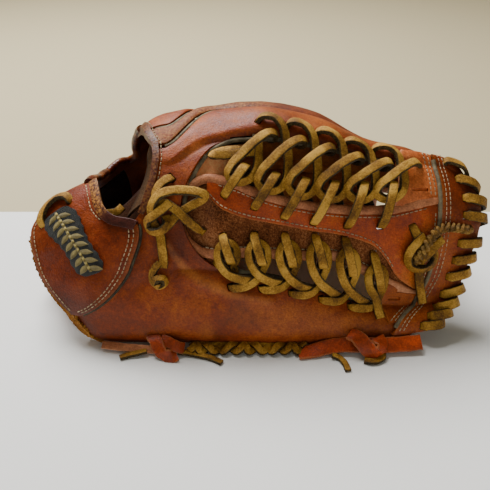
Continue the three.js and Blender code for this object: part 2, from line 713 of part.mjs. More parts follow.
// The net's rows. A long lace comes up through the stall's leather, runs round a loop that
// reaches the strap, crosses over itself and goes back down; a short one hooks each loop to
// the strap. along is in millimetres, and toward runs from the stall's hole to the loop's end
const PITCH = 17.6;
const INDEX_LOOP = [
  { along: 0, toward: 0, out: -4 },
  { along: 0.3, toward: 0, out: 1 },
  { along: 4, toward: -0.01, out: 3.2 },
  { along: 11.5, toward: 0.06, out: 3.4 },
  { along: 17.3, toward: 0.28, out: 3.1 },
  { along: 18.6, toward: 0.62, out: 3.1 },
  { along: 15.5, toward: 0.89, out: 3.6 },
  { along: 9, toward: 1, out: 3.9 },
  { along: 3.4, toward: 0.91, out: 4.5 },
  { along: 3.4, toward: 0.76, out: 6.1 },
  { along: 9, toward: 0.65, out: 7.1 },
  { along: 18, toward: 0.56, out: 7.3 },
  { along: 22.4, toward: 0.54, out: 3.4 },
  { along: 23.2, toward: 0.53, out: -3.2 },
  { along: 21.5, toward: 0.3, out: -7.5 },
];
const LOOPS = 6;
const indexHole = (k) => ({ x: -14 + PITCH * k, seam: clamp(2.28 - 0.045 * (k - 1), 2.14, 2.26) });
const indexEnd = (k) => column(STRAP, "high", -3.5 + PITCH * k) + 0.074;
const indexStop = (k, row) => {
  const hole = indexHole(k);
  const x = hole.x + row.along;
  const seam = mix(hole.seam, indexEnd(k), row.toward);
  return on(x, seam, under(x, seam) + row.out);
};
const foldStops = [
  facing(on(-7, 1.9, -3.5), X_AXIS),
  on(-8.5, 1.905, 0.6),
  on(-14, 1.91, 1.6),
  on(-22, 1.905, 1.6),
  on(-25.5, 1.885, 2.8),
  on(-22, 1.87, 4.4),
  on(-14, 1.865, 4.2),
  on(-5, 1.875, 3.4),
  on(1.5, 1.885, 3.1),
];
lace(
  "index_net_lace",
  [
    ...foldStops,
    ...series(LOOPS, (k) => (k ? INDEX_LOOP : INDEX_LOOP.slice(5)).map((row) => indexStop(k, row)))
      .flat()
      .slice(0, -1),
  ],
  ["palm_shell", "thumb_index_back", "index_tip_tab"],
);
const THUMB_PITCH = 18.3;
const THUMB_LOOP = [
  { along: 0, toward: 0, out: -4 },
  { along: 0.3, toward: 0, out: 1 },
  { along: 4, toward: 0.01, out: 3.2 },
  { along: 12, toward: 0.14, out: 3.5 },
  { along: 20, toward: 0.4, out: 3.6 },
  { along: 24.6, toward: 0.72, out: 3.7 },
  { along: 23.6, toward: 0.91, out: 4.1 },
  { along: 18.5, toward: 1, out: 4.2 },
  { along: 12.6, toward: 0.93, out: 4.8 },
  { along: 11.3, toward: 0.76, out: 6.2 },
  { along: 14.2, toward: 0.61, out: 7.5 },
  { along: 25, toward: 0.6, out: 7.3 },
  { along: 28.9, toward: 0.69, out: 3 },
  { along: 29.6, toward: 0.7, out: -3.2 },
  { along: 26, toward: 0.3, out: -8.5 },
];
const thumbHole = (k) => ({ x: -32.6 + THUMB_PITCH * k, seam: 0.765 + 0.01 * k });
const thumbEnd = (k) => column(STRAP, "low", -14.6 + THUMB_PITCH * k) + 0.078;
const thumbStop = (k, row) => {
  const hole = thumbHole(k);
  const x = hole.x + row.along;
  const seam = mix(hole.seam, thumbEnd(k), row.toward);
  return on(x, seam, under(x, seam) + row.out);
};
const lowerStart = [
  facing(on(-24, 1.075, -4.5), X_BACK),
  on(-23, 1.06, -0.5),
  on(-19.5, 1.035, 2.4),
  on(-11.5, 1.015, 2.8),
];
lace(
  "thumb_net_lace",
  [
    ...lowerStart,
    ...series(LOOPS, (k) => (k ? THUMB_LOOP : THUMB_LOOP.slice(5)).map((row) => thumbStop(k, row)))
      .flat()
      .slice(0, -5),
    on(74.4, 1.055, 7.4),
    on(76.2, 0.86, 7),
    on(77.5, 0.66, 7.6),
  ],
  ["palm_shell", "thumb_index_back", "web_roll_lower"],
);
// The short laces that hook the loops to the strap
const HOOK = [
  { reach: 0, out: -4 },
  { reach: 0, out: 2.5 },
  { reach: 0.1, out: 6 },
  { reach: 0.3, out: 9.2 },
  { reach: 0.72, out: 9.8 },
  { reach: 0.97, out: 6.4 },
  { reach: 1, out: -3.5 },
];
function hooks(count, hole, tip) {
  return series(count, (k) => {
    const a = hole(k);
    const b = tip(k);
    const away = place(a.x, a.seam, 0).sub(place(b.x, b.seam, 0)).normalize();
    const spot = (row, i) => {
      const stop = on(mix(a.x, b.x, row.reach), mix(a.seam, b.seam, row.reach), row.out);
      return i ? stop : facing(stop, away);
    };
    const next = hole(k + 1);
    const back = [0.35, 0.85].map((t) => on(mix(b.x, next.x, t), mix(b.seam, next.seam, t), -6));
    return [...HOOK.map(spot), ...(k < count - 1 ? back : [])];
  }).flat();
}
const upperHookHole = (k) => {
  const x = indexHole(k).x - 2.5 + Math.max(0, 3 * (k - 3));
  return { x, seam: column(STRAP, "high", x) - 0.1 };
};
const upperHookTip = (k) => ({ x: indexHole(k).x + 10.1, seam: indexEnd(k) + 0.095 });
const STRAP_LEATHERS = ["web_strap", "web_overlay"];
lace("strap_net_lace_upper", hooks(LOOPS, upperHookHole, upperHookTip), STRAP_LEATHERS);
const lowerHookHole = (k) => {
  const x = thumbHole(k).x + 13.6;
  return { x, seam: column(STRAP, "low", x) + 0.135 };
};
const lowerHookTip = (k) => {
  const x = thumbHole(k).x + 18.8;
  return { x, seam: column(STRAP, "low", x) - 0.058 - 0.0016 * k };
};
lace("strap_net_lace_lower", hooks(LOOPS, lowerHookHole, lowerHookTip), STRAP_LEATHERS);

// The lace whipped over the crown's rim
const WHIPS = [2.07, 1.93, 1.79, 1.65, 1.43, 1.3, 1.175, 1.04, 0.82, 0.62, 0.42];
const BAND = GAP + 3.4;
const WHIP = [
  { back: 11, toward: 0, out: -3.8 },
  { back: 10.8, toward: 0, out: BAND + 2.1 },
  { back: 8, toward: 0, out: BAND + 2.6 },
  { back: -0.6, toward: 0.03, out: BAND + 2.8 },
  { back: -3.8, toward: 0.12, out: 0.8 },
  { back: 2, toward: 0.4, out: -4.4 },
];
const whipStops = WHIPS.flatMap((seam, k) => {
  const after = WHIPS[Math.min(k + 1, WHIPS.length - 1)];
  return WHIP.map(({ back, toward, out }) => {
    const across = mix(seam, after, toward);
    const rim = column(CROWN_BAND, "rim", across, "seam");
    const stop = on(rim - back, across, under(rim, seam) + out);
    return out < BAND && back > 10 ? facing(stop, X_BACK) : stop;
  });
});
const lastWhip = whipStops.length - 2;
const whipHoles = WHIPS.map((_, k) => [k * WHIP.length, Math.min((k + 1) * WHIP.length, lastWhip)]);
lace("crown_whip_lace", whipStops.slice(0, -1), ["web_crown", "thumb_index_back"], {
  width: 4.6,
  thick: 1.8,
  lean: 0,
  holes: whipHoles,
});

// The knot at the web's root, with its hanging tail, and the knot at the web's top
lace(
  "web_root_lace",
  [
    facing(on(-47.5, 1.745, -3.5), Z_UP),
    on(-47.8, 1.73, 1),
    on(-49.5, 1.7, 5),
    on(-52.5, 1.64, 5.6),
    on(-52.5, 1.565, 5.8),
    on(-48.5, 1.515, 6.8),
    on(-42, 1.45, 7.4),
    on(-36, 1.36, 6),
    on(-32.8, 1.31, 3),
    on(-31.5, 1.295, -4.5),
  ],
  ["thumb_index_back", "web_strap", "palm_shell"],
);
lace("web_knot_lace", [
  on(-51, 1.37, 4.9),
  on(-44, 1.43, 4.6),
  on(-37.7, 1.48, 4.6),
  on(-32, 1.53, 5.2),
  on(-29.5, 1.56, 6.8),
  on(-33, 1.58, 8.8),
  on(-40, 1.59, 9.8),
  on(-49, 1.594, 10.4),
  on(-55, 1.56, 9.8),
  on(-59, 1.5, 8),
  on(-59.6, 1.43, 6.6),
  on(-58, 1.36, 5.6),
  on(-56, 1.28, 5),
  on(-55.2, 1.16, 4.8),
  on(-55.4, 1.06, 4.8),
  on(-58, 1.0, 5.2),
  on(-60.5, 0.93, 5.6),
  on(-59.5, 0.85, 5.4),
  on(-56, 0.82, 5.4),
  on(-53, 0.88, 6.4),
  on(-54.5, 0.95, 8.4),
  on(-58.5, 0.9, 9.6),
]);
lace(
  "crown_knot_lace",
  [
    facing(on(101, 1.545, -4.5), Z_UP),
    on(101, 1.535, 1.5),
    on(101.5, 1.49, 4.2),
    on(103, 1.42, 4.2),
    on(104, 1.32, 4.4),
    on(105, 1.2, 5.8),
    on(106, 1.1, 6.4),
    on(106.3, 1.03, 6.6),
  ],
  STRAP_LEATHERS,
);
const cordStops = [
  on(141.8, 1.52, -1.5),
  on(142.6, 1.52, 3),
  on(140, 1.52, 6.4),
  on(133, 1.53, 6.6),
  on(124, 1.55, 6.6),
  on(114, 1.55, 6.8),
  on(107, 1.49, 7.6),
  on(101, 1.43, 8.2),
  on(95.5, 1.38, 6.6),
  on(96.5, 1.31, 6),
  on(102, 1.27, 8.2),
  on(108, 1.28, 8.2),
  on(110.4, 1.34, 5.4),
  on(109, 1.4, 4.4),
];
add("crown_cord", tube(cordStops, 1.9), MATERIALS.lace);

// The lace that ties the wrist strap to the thumb base panel
lace(
  "wrist_lace",
  [
    facing(on(-114, 1.8, 1.2), X_AXIS),
    on(-114.3, 1.81, 5.5),
    on(-117, 1.86, 8.2),
    on(-123, 1.89, 8.6),
    on(-129, 1.85, 8.6),
    on(-132.5, 1.77, 8.2),
    on(-133.5, 1.68, 7.4),
    on(-132.5, 1.63, 5.4),
    on(-132.2, 1.62, 1.2),
  ],
  ["thumb_base_panel"],
);

// Along the thumb's edge: two orange thongs, each with a knot, and the laces under them
const THONG = { width: 9, thick: 1.8, material: MATERIALS.strap };
const FLAT = { lean: 0 };
const FACING = new THREE.Vector3(0, -0.6, 0.8);
const tilted = (x, y, z) => level(x, y, z, FACING);
lace(
  "thumb_edge_thong_left",
  [
    tilted(-94, -72.5, 5.1),
    tilted(-80, -74.0, 4.7),
    tilted(-67, -75.5, 4.5),
    tilted(-58, -76.2, 4.5),
    tilted(-50, -76.0, 4.5),
    tilted(-44, -75.0, 4.7),
  ],
  [],
  { ...THONG, width: 7 },
);
lace(
  "thumb_edge_knot_left",
  [
    level(-62, -72.9, 11),
    level(-60.5, -77.2, 10.2, new THREE.Vector3(0, -0.4, 0.9)),
    level(-58.5, -82.5, 6.2, new THREE.Vector3(0, -0.8, 0.6)),
    level(-56, -85, 4.6, new THREE.Vector3(0.2, -0.9, 0.4)),
    level(-51, -85.6, 3.4, new THREE.Vector3(0, -0.3, 0.95)),
    level(-46, -84, 2.6),
  ],
  [],
  THONG,
);
lace("thumb_edge_lace_left", [
  level(-81, -82.0, 1.2),
  level(-74, -80.9, 1.2),
  level(-69, -80.8, 1.2),
], [], FLAT);
lace("thumb_edge_lace", [
  level(-43.6, -78.6, 1.2),
  level(-37, -79.6, 1.2),
  level(-31, -81.4, 1.2),
  level(-24.5, -83.5, 1.2),
  level(-19, -86.5, 1.2),
], [], FLAT);
lace("thumb_edge_lace_middle", [
  level(-36, -70.8, 1.3),
  level(-22, -73.4, 1.3),
  level(-6, -73.8, 1.3),
  level(8, -73.2, 1.3),
  level(22, -72.6, 1.3),
], [], FLAT);
lace(
  "thumb_edge_thong_right",
  [
    level(26.5, -79.0, 1.2),
    level(35, -78.0, 2.2, new THREE.Vector3(0, -0.3, 0.95)),
    tilted(45, -76.4, 4.3),
    tilted(56, -75.6, 4.9),
    tilted(68, -75.8, 4.7),
    tilted(80, -75.9, 4.7),
    tilted(92, -75.3, 4.9),
    tilted(102, -74.3, 5.1),
  ],
  [],
  THONG,
);
lace(
  "thumb_edge_knot_right",
  [
    level(58.5, -73.8, 11.6),
    level(61.5, -76.2, 10.4, new THREE.Vector3(0, -0.4, 0.9)),
    level(66, -81, 6.6, new THREE.Vector3(0, -0.75, 0.65)),
    level(70, -83.4, 4.6, new THREE.Vector3(0.2, -0.8, 0.5)),
    level(75, -84, 4.6, new THREE.Vector3(0.3, -0.75, 0.6)),
    level(77, -80.2, 8.6, new THREE.Vector3(0, -0.6, 0.8)),
    level(74.5, -74.8, 10, new THREE.Vector3(0, -0.3, 0.95)),
  ],
  [],
  THONG,
);
lace("thumb_edge_lace_right", [
  level(44, -83.4, 1.2),
  level(50, -84.0, 1.2),
  level(54, -88.5, 1.2),
  level(55, -94.5, 1.2),
], [], FLAT);

// The web's root is held between the palm leather and the back
const roots = ["low", "high"].map((side) => {
  const stops = [-49, -45, -40, -34, -28, -24].map((x) => on(x, column(STRAP, side, x), -0.6 - rootDip(x)));
  return strip(stops, { width: ROLL.width + 1, thick: ROLL.thick + 1, sides: 6, lean: 0 });
});
const loosened = ({ width, thick }) => ({ width: width + 3 * GAP, thick: thick + 3 * GAP });
const parts = new Map(glove.children.map((mesh) => [mesh.name, mesh]));
laces.forEach(({ name, stops, through, options }) => {
  const size = { ...LACE, ...options };
  const own = strip(stops, size);
  const rings = stripRings(stops, { ...size, ...loosened(size) });
  const holes = options.holes ?? [[0, rings.length - 1]];
  const channels = holes.map(([from, to]) => loft(rings.slice(from, to + 1)));
  add(name, own, options.material ?? MATERIALS.lace);
  through.forEach((part) => {
    const mesh = parts.get(part);
    [...channels, own].forEach((channel) => {
      mesh.geometry = cut(mesh.geometry, channel);
    });
  });
});
roots.forEach((root) => {
  const palm = parts.get("palm_shell");
  palm.geometry = cut(palm.geometry, root);
});

export default glove;
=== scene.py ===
import math

import bpy
import numpy as np
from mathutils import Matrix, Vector


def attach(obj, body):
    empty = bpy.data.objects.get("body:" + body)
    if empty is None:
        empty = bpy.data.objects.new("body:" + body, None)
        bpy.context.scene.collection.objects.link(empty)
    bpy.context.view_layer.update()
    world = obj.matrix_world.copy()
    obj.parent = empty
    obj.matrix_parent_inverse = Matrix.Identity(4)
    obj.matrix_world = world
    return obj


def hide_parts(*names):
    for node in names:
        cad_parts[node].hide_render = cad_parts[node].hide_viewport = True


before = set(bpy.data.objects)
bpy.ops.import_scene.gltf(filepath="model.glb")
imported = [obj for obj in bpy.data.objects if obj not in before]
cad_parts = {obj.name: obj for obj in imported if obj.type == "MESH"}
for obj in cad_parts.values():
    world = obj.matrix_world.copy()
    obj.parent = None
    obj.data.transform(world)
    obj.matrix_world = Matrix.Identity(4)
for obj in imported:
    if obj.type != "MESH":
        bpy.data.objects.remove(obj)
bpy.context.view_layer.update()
MM = 0.001

# %% [markdown]
# ## Camera
# The photograph looks down on the glove by about 32 degrees, from the thumb's side. A camera
# could be turned until the view looks right. Here its place and lens are worked out from the
# glove's outline instead, and it comes first.
# %% Camera
CAMERA = {"place": (-0.0063, -0.3496, 0.252), "tilt": 32, "focal_px": 600, "frame_px": 490}

bpy.ops.object.camera_add(location=CAMERA["place"], rotation=(math.radians(90 - CAMERA["tilt"]), 0, 0))
camera = bpy.context.object
camera.data.lens = camera.data.sensor_width * CAMERA["focal_px"] / CAMERA["frame_px"]
camera.data.clip_start = 0.01
bpy.context.scene.camera = camera
print("lens:", round(camera.data.lens, 1), "mm")

# %% [markdown]
# ## The glove's measures
# A glove is cut flat and then bent over the hand. It could be sculpted freely, but then its
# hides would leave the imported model. These tables hold that model's measures: the arch across
# the hand, how it shrinks along it, and how deep the palm lies.
# %% Tables of the arch
def table(names, *rows):
    return {name: np.array(values, float) for name, values in zip(names.split(), zip(*rows))}


LEATHER = 2.4
GAP = 0.3
SEAMS = table("y z", (-67, -0.8), (-57, 44), (-16, 115), (17, 124), (49, 107), (72, 68), (77, -0.8))
RISES = ["low", "thumb", "web", "crown", "crown", "crown", "low"]
STATIONS = table(
    "x wide low thumb web crown",
    (-148, 0.66, 1.0, 0.72, 0.5, 0.36),
    (-120, 0.84, 1.0, 0.92, 0.64, 0.49),
    (-96, 0.97, 1.0, 1.04, 0.74, 0.645),
    (-68, 1.0, 1.0, 1.1, 0.92, 0.9),
    (-34, 1.0, 1.0, 1.12, 0.965, 0.955),
    (6, 1.0, 1.0, 1.0, 1.0, 0.975),
    (41, 1.0, 1.0, 0.76, 0.95, 0.915),
    (72, 0.97, 1.0, 0.5, 0.88, 0.78),
    (105, 0.88, 1.0, 0.4, 0.84, 0.69),
    (142, 0.7, 1.0, 0.6, 0.7, 0.55),
)
DEPTHS = table(
    "x palm pad",
    (-142, 26, 8),
    (-120, 34, 10),
    (-96, 42, 11),
    (-68, 46, 10),
    (-34, 37, 7),
    (6, 27, 5),
    (41, 23, 4),
    (105, 19, 3.2),
)
TIPS = {"thumb": 104, "web": None, "index": 108, "middle": 117, "ring": 112, "pinky": 98}
STALL_NAMES = list(TIPS)
HOLE = {"mouth": -15, "depth": 29}
SLIT = 22
TIP_ROUND = 15
CROWN = 6
CENTRE = (0.3, -5.4)
print("tables:", len(STATIONS["x"]), "stations,", len(SEAMS["y"]), "seams")

# %% [markdown]
# ## From glove coordinates to places
# Everything that follows is laid out flat and bent by one function, so that hides, laces and
# stitches lie on each other wherever the glove curves. It could bend one point at a time, but it
# works on whole arrays, so that a hide of thirty thousand points takes a moment. First come the
# curves that read the tables between their rows.
# %% Curves through tables
def mix(a, b, t):
    return a + (b - a) * t


def smooth(a, b, value):
    t = np.clip((np.asarray(value, float) - a) / (b - a), 0, 1)
    return t * t * (3 - 2 * t)


def hermite(a, b, ta, tb, t):
    t2 = t * t
    t3 = t2 * t
    return (2 * t3 - 3 * t2 + 1) * a + (t3 - 2 * t2 + t) * ta + (3 * t2 - 2 * t3) * b + (t3 - t2) * tb


def column(rows, name, value, key="x"):
    keys = rows[key]
    values = rows[name]
    last = len(keys) - 1
    before = np.maximum(np.arange(last + 1) - 1, 0)
    after = np.minimum(np.arange(last + 1) + 1, last)
    slopes = (values[after] - values[before]) / (keys[after] - keys[before])
    v = np.clip(value, keys[0], keys[last])
    i = np.clip(np.searchsorted(keys, v, side="right") - 1, 0, last - 1)
    h = keys[i + 1] - keys[i]
    return hermite(values[i], values[i + 1], slopes[i] * h, slopes[i + 1] * h, (v - keys[i]) / h)


def unit(v):
    return v / np.maximum(np.linalg.norm(v, axis=-1, keepdims=True), 1e-9)


print("halfway from 10 to 20:", mix(10, 20, 0.5), "and a soft third:", smooth(0, 3, 1).round(2))

# %% [markdown]
# The arch is one curve across the hand, and place() finds a spot along it and goes out square to
# it. Nothing may sink below the floor, so heights stop at zero.
# %% The arch
def arch(x):
    wide = column(STATIONS, "wide", x)
    y = np.stack([y * wide for y in SEAMS["y"]], -1)
    z = np.stack([z * column(STATIONS, rise, x) for z, rise in zip(SEAMS["z"], RISES)], -1)
    points = np.stack([y, z], -1)
    steps = unit(np.diff(points, axis=-2))
    runs = np.empty_like(points)
    runs[..., 1:-1, :] = unit(steps[..., :-1, :] + steps[..., 1:, :])
    runs[..., 0, :] = unit(np.array([-0.28, 1.0]))
    runs[..., -1, :] = unit(np.array([-0.12, -1.0]))
    return points, runs


def place(x, seam, out):
    x, seam, out = np.broadcast_arrays(*(np.asarray(v, float) for v in (x, seam, out)))
    points, runs = arch(x)
    q = np.clip(seam, 0, 6)
    i = np.minimum(np.floor(q), 5).astype(int)[..., None, None]
    a, b = (np.take_along_axis(points, k, -2)[..., 0, :] for k in (i, i + 1))
    ta, tb = (np.take_along_axis(runs, k, -2)[..., 0, :] for k in (i, i + 1))
    chord = np.linalg.norm(b - a, axis=-1, keepdims=True)
    t = (q - i[..., 0, 0])[..., None]
    at = lambda s: hermite(a, b, ta * chord, tb * chord, s)
    p = at(t)
    d = unit(at(t + 0.02) - at(t - 0.02))
    y = p[..., 0] - d[..., 1] * out - CENTRE[1]
    z = np.maximum(p[..., 1] + d[..., 0] * out, 0)
    return np.stack([x - CENTRE[0], y, z], -1) * MM


def rise(x, seam):
    return unit(place(x, seam, 20) - place(x, seam, 19))


print("top of the index finger:", place(0, 2.5, CROWN).round(3))

# %% [markdown]
# ## The cut pieces' outlines
# The backs start at the hand opening and end at the fingertips. Towards the opening the seams
# between the fingers run together, as the hand is narrower there than the fingers are. The
# edges are tables and short curves, as a cutting pattern is, because they can be measured.
# %% Outlines of the backs
BACK_START = table(
    "seam x",
    (0, -95),
    (0.2, -105),
    (0.42, -114),
    (0.55, -103),
    (0.75, -86),
    (1.05, -77),
    (1.34, -75),
    (1.5, -66.8),
    (1.88, -59.6),
    (2.3, -64.8),
    (2.7, -70),
    (3.1, -75),
    (3.5, -80),
    (4.0, -85),
    (4.4, -87),
    (4.66, -80),
    (4.95, -77),
    (5.25, -86),
    (5.45, -103),
    (5.58, -114),
    (5.8, -105),
    (6, -95),
)
GATHER = table("seam to", (1.4, 1.4), (2, 1.8), (3, 2.02), (4, 2.5), (5, 3.3), (6, 6))
EDGE = 0.04
STALL_WIDTH = 40
OPENING_X = -70


def heel_edge(seam):
    return -146 + 51 * (seam / 3 - 1) ** 4


def hole_edge(seam):
    across = np.clip(1 - (2 * seam - 3) ** 2, 0, 1)
    return HOLE["mouth"] - HOLE["depth"] * np.sqrt(across)


def back_start(seam):
    return column(BACK_START, "x", seam, "seam")


def gathered(x, seam):
    to = np.where(seam <= 1.4, seam, np.interp(seam, GATHER["seam"], GATHER["to"]))
    return mix(seam, to, smooth(-24, -54.5, x))


def back_seam(x, seam):
    stall = np.minimum(np.floor(seam), 5)

    def edge(s, side):
        slope = STALL_WIDTH * (gathered(x + 1, s) - gathered(x - 1, s)) / 2
        return gathered(x, s) + side * EDGE * np.hypot(1, slope)

    within = mix(edge(stall, 1), edge(stall + 1, -1), (seam - stall - EDGE) / (1 - 2 * EDGE))
    crossing = mix(gathered(x, 2 - EDGE), edge(2, 1), (seam - 2 + EDGE) / (2 * EDGE))
    return np.where(seam < 2 - EDGE, gathered(x, seam), np.where(seam < 2 + EDGE, crossing, within))


print("the opening's edge runs from", back_start(1.5), "to", back_start(3.0))

# %% [markdown]
# Each stall swells between its seams, and its tip is rounded. The rows of every hide are shared
# out over palm, hole and fingers, so that a row of points runs along each edge that matters.
# %% Heights and rows
ROWS = {"palm": 9, "hole": 3, "finger": 6}
ROW_COUNT = sum(ROWS.values())
FLAT_RISE = 2.6


def back_height(x, seam):
    t = (seam % 1) * 2 - 1
    crown = CROWN * np.clip(1 - t * t, 0, 1) ** 0.7
    outer = np.minimum(1, np.minimum(6 * seam, 6 * (6 - seam)))
    return mix(FLAT_RISE * outer, crown, smooth(-70, 10, x))


def under(x, seam):
    return np.where((seam > 1) & (seam < 2), 0, back_height(x, seam))


def row_place(row, seam, start, tip):
    hole = hole_edge(seam)
    mouth = ROWS["palm"] + ROWS["hole"]
    t = np.clip((row - mouth) / ROWS["finger"], 0, 1)
    finger = mix(SLIT, tip, 0.5 * np.sin(t * math.pi / 2) ** 0.9 + 0.5 * t)
    beside = mix(hole, SLIT, (row - ROWS["palm"]) / ROWS["hole"])
    hand = mix(start, hole, row / ROWS["palm"])
    return np.where(row <= ROWS["palm"], hand, np.where(row <= mouth, beside, finger))


def tip_shape(x, tip):
    return np.sqrt(1 - np.clip((x - (tip - TIP_ROUND)) / TIP_ROUND, 0, 1) ** 2)


print("the middle finger's back is", float(back_height(60, 3.5)), "mm above its seams")

# %% [markdown]
# ## Working by hand, in code
# A sheet of leather starts as a grid primitive, whose points are laid where the piece lies.
# Solidify then gives it a thickness and Bevel rounds its cut edges, as a knife and an edge
# tool would. A cloth simulation could drape it too, but it would never come back the same.
# %% Helpers for sheets
SMOOTH_TURN = {"sheet": 48, "palm": 50, "strip": 35, "tube": 60}
SHARP_TURN = {"sheet": 50, "palm": 55}


def only(piece):
    bpy.ops.object.select_all(action="DESELECT")
    piece.select_set(True)
    bpy.context.view_layer.objects.active = piece


def points_of(piece):
    flat = np.empty(3 * len(piece.data.vertices))
    piece.data.vertices.foreach_get("co", flat)
    return flat.reshape(-1, 3)


def set_points(piece, points):
    piece.data.vertices.foreach_set("co", np.asarray(points, float).ravel())
    piece.data.update()


def smoothed(piece, kind):
    only(piece)
    bpy.ops.object.shade_smooth_by_angle(angle=math.radians(SMOOTH_TURN[kind]))


def rounded(piece, width, segments=2, sharp=SHARP_TURN["sheet"]):
    modify(
        piece, "BEVEL", width=width * MM, segments=segments, limit_method="ANGLE",
        angle_limit=math.radians(sharp),
    )


def laid(name, rows, columns, spot):
    bpy.ops.object.select_all(action="DESELECT")
    bpy.ops.mesh.primitive_grid_add(x_subdivisions=rows, y_subdivisions=columns, size=1)
    piece = bpy.context.object
    piece.name = name
    piece.data.name = name
    flat = points_of(piece) + 0.5
    set_points(piece, spot(flat[:, 0], flat[:, 1]))
    return piece, flat[:, 0], flat[:, 1]


def modify(piece, kind, **settings):
    only(piece)
    modifier = piece.modifiers.new(kind.title(), kind)
    for key, value in settings.items():
        setattr(modifier, key, value)
    bpy.ops.object.modifier_apply(modifier=modifier.name)


def thicken(piece, thickness, edge=0.5):
    modify(piece, "SOLIDIFY", thickness=thickness * MM, offset=-1.0, use_even_offset=False)
    if edge:
        rounded(piece, edge)
    smoothed(piece, "sheet")


print("edges sharper than", SHARP_TURN["sheet"], "degrees are rounded")

# %% [markdown]
# Not every piece is a sheet. Strips, cords and the palm are drawn as rings or skins of points
# and become one mesh. Some pieces are copies joined into one, and others lose some faces in
# edit mode, as if they were picked by hand.
# %% Helpers for other pieces
def from_faces(name, points, faces):
    mesh = bpy.data.meshes.new(name)
    mesh.from_pydata(np.asarray(points).reshape(-1, 3).tolist(), [], faces)
    piece = bpy.data.objects.new(name, mesh)
    bpy.context.scene.collection.objects.link(piece)
    only(piece)
    return piece


def edited(piece, operate, **settings):
    only(piece)
    bpy.ops.object.mode_set(mode="EDIT")
    bpy.ops.mesh.select_all(action="SELECT")
    operate(**settings)
    bpy.ops.object.mode_set(mode="OBJECT")


def lofted(name, rings):
    count, sides = rings.shape[:2]
    faces = [
        [i * sides + k, i * sides + (k + 1) % sides, (i + 1) * sides + (k + 1) % sides, (i + 1) * sides + k]
        for i in range(count - 1)
        for k in range(sides)
    ]
    faces += [list(range(sides))[::-1], [(count - 1) * sides + k for k in range(sides)]]
    piece = from_faces(name, rings, faces)
    edited(piece, bpy.ops.mesh.normals_make_consistent, inside=False)
    return piece


def joined_to(main, pieces):
    bpy.ops.object.select_all(action="DESELECT")
    for piece in pieces:
        piece.select_set(True)
    bpy.context.view_layer.objects.active = main
    bpy.ops.object.join()
    return main


def drop_faces(piece, gone):
    only(piece)
    bpy.ops.object.mode_set(mode="EDIT")
    bpy.ops.mesh.select_mode(type="FACE")
    bpy.ops.mesh.select_all(action="DESELECT")
    bpy.ops.object.mode_set(mode="OBJECT")
    piece.data.polygons.foreach_set("select", gone)
    bpy.ops.object.mode_set(mode="EDIT")
    bpy.ops.mesh.delete(type="FACE")
    bpy.ops.object.mode_set(mode="OBJECT")


print("helpers:", lofted.__name__, joined_to.__name__, drop_faces.__name__)

# %% [markdown]
# A finished piece gets its material, rides on the glove's one body and takes the place of its
# node in the imported model. Marks stored on its points tell the material where the leather is
# rubbed or carries a painted highlight, and where it is dirty or darkened as painted shade,
# because wear, shade and light follow the edges and folds and not a pattern.
# %% Helpers for finished pieces
def mark(piece, name, values):
    attribute = piece.data.attributes.new(name, "FLOAT", "POINT")
    attribute.data.foreach_set("value", np.asarray(np.broadcast_to(values, len(piece.data.vertices)), float))


def shown(piece, finish, slot, *nodes):
    piece.data.materials.clear()
    piece.data.materials.append(finish)
    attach(piece, "root")
    if nodes:
        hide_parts(*nodes)
    print(piece.name, "has", len(piece.data.polygons), "faces")


print("marks: worn, dirt, cut and inner")

# %% [markdown]
# ## Swells and wrinkles
# Years of catching have pushed the hides out of shape. Sculpting brushes need a hand on the
# mouse, so here a swell is a soft ridge along a line on the flat leather, and the wrinkles are
# sums of a few sine waves in the height.
# %% Swells of the worn leather
ARC = table("seam mm", (0, 0), (1, 46), (2, 128), (3, 163), (4, 199), (5, 243), (6, 312))
SWELLS = [
    {"line": [(-52, 1.2), (-42, 1.0), (-32, 0.865), (-15, 0.76), (8, 0.7)], "width": 4.2, "height": 2.1},
    {"line": [(-47, 1.86), (-28, 2.03), (-12, 2.1), (10, 2.14)], "width": 5.0, "height": 1.4},
    {"line": [(-96, 0.2), (-60, 0.27), (-20, 0.22), (20, 0.26)], "width": 8.0, "height": 1.2},
    {"line": [(-88, 0.62), (-60, 0.5), (-30, 0.45)], "width": 9.0, "height": 0.8},
    {"line": [(-70, 1.2), (-66, 1.0), (-70, 0.8)], "width": 5.0, "height": -0.7},
]


def flat_mm(x, seam):
    return np.stack([np.asarray(x, float), np.interp(seam, ARC["seam"], ARC["mm"])], -1)


def line_distance(x, seam, line):
    here = flat_mm(x, seam)
    ends = flat_mm(*np.array(line, float).T)
    best = np.full(here.shape[:-1], 1e9)
    for a, b in zip(ends[:-1], ends[1:]):
        t = np.clip(((here - a) @ (b - a)) / ((b - a) @ (b - a)), 0, 1)
        best = np.minimum(best, np.linalg.norm(here - a - t[..., None] * (b - a), axis=-1))
    return best


def waves(x, seam, size, seed=0):
    here = flat_mm(x, seam) / size
    total = np.zeros(here.shape[:-1])
    random = np.random.default_rng(seed)
    for weight in (1, 0.7, 0.5, 0.4):
        angle, shift, shift2 = random.uniform(0, 2 * math.pi, 3)
        u = here @ np.array([math.cos(angle), math.sin(angle)])
        v = here @ np.array([-math.sin(angle), math.cos(angle)])
        total += weight * np.sin(u / weight + shift + 1.3 * np.sin(v / weight + shift2))
    return total / 2.6


def rubbed_spots(piece, size, seed, low=0.0, high=0.5):
    here = points_of(piece) / MM / size
    random = np.random.default_rng(seed)
    total = np.zeros(len(here))
    for weight in (1, 0.8, 0.6, 0.45):
        ways = random.normal(size=(3, 3))
        bend = 1.5 * np.sin(here @ unit(ways[1]) / weight + ways[2, 0])
        total += weight * np.sin(here @ unit(ways[0]) / weight + bend)
    return smooth(low, high, total / 1.5)


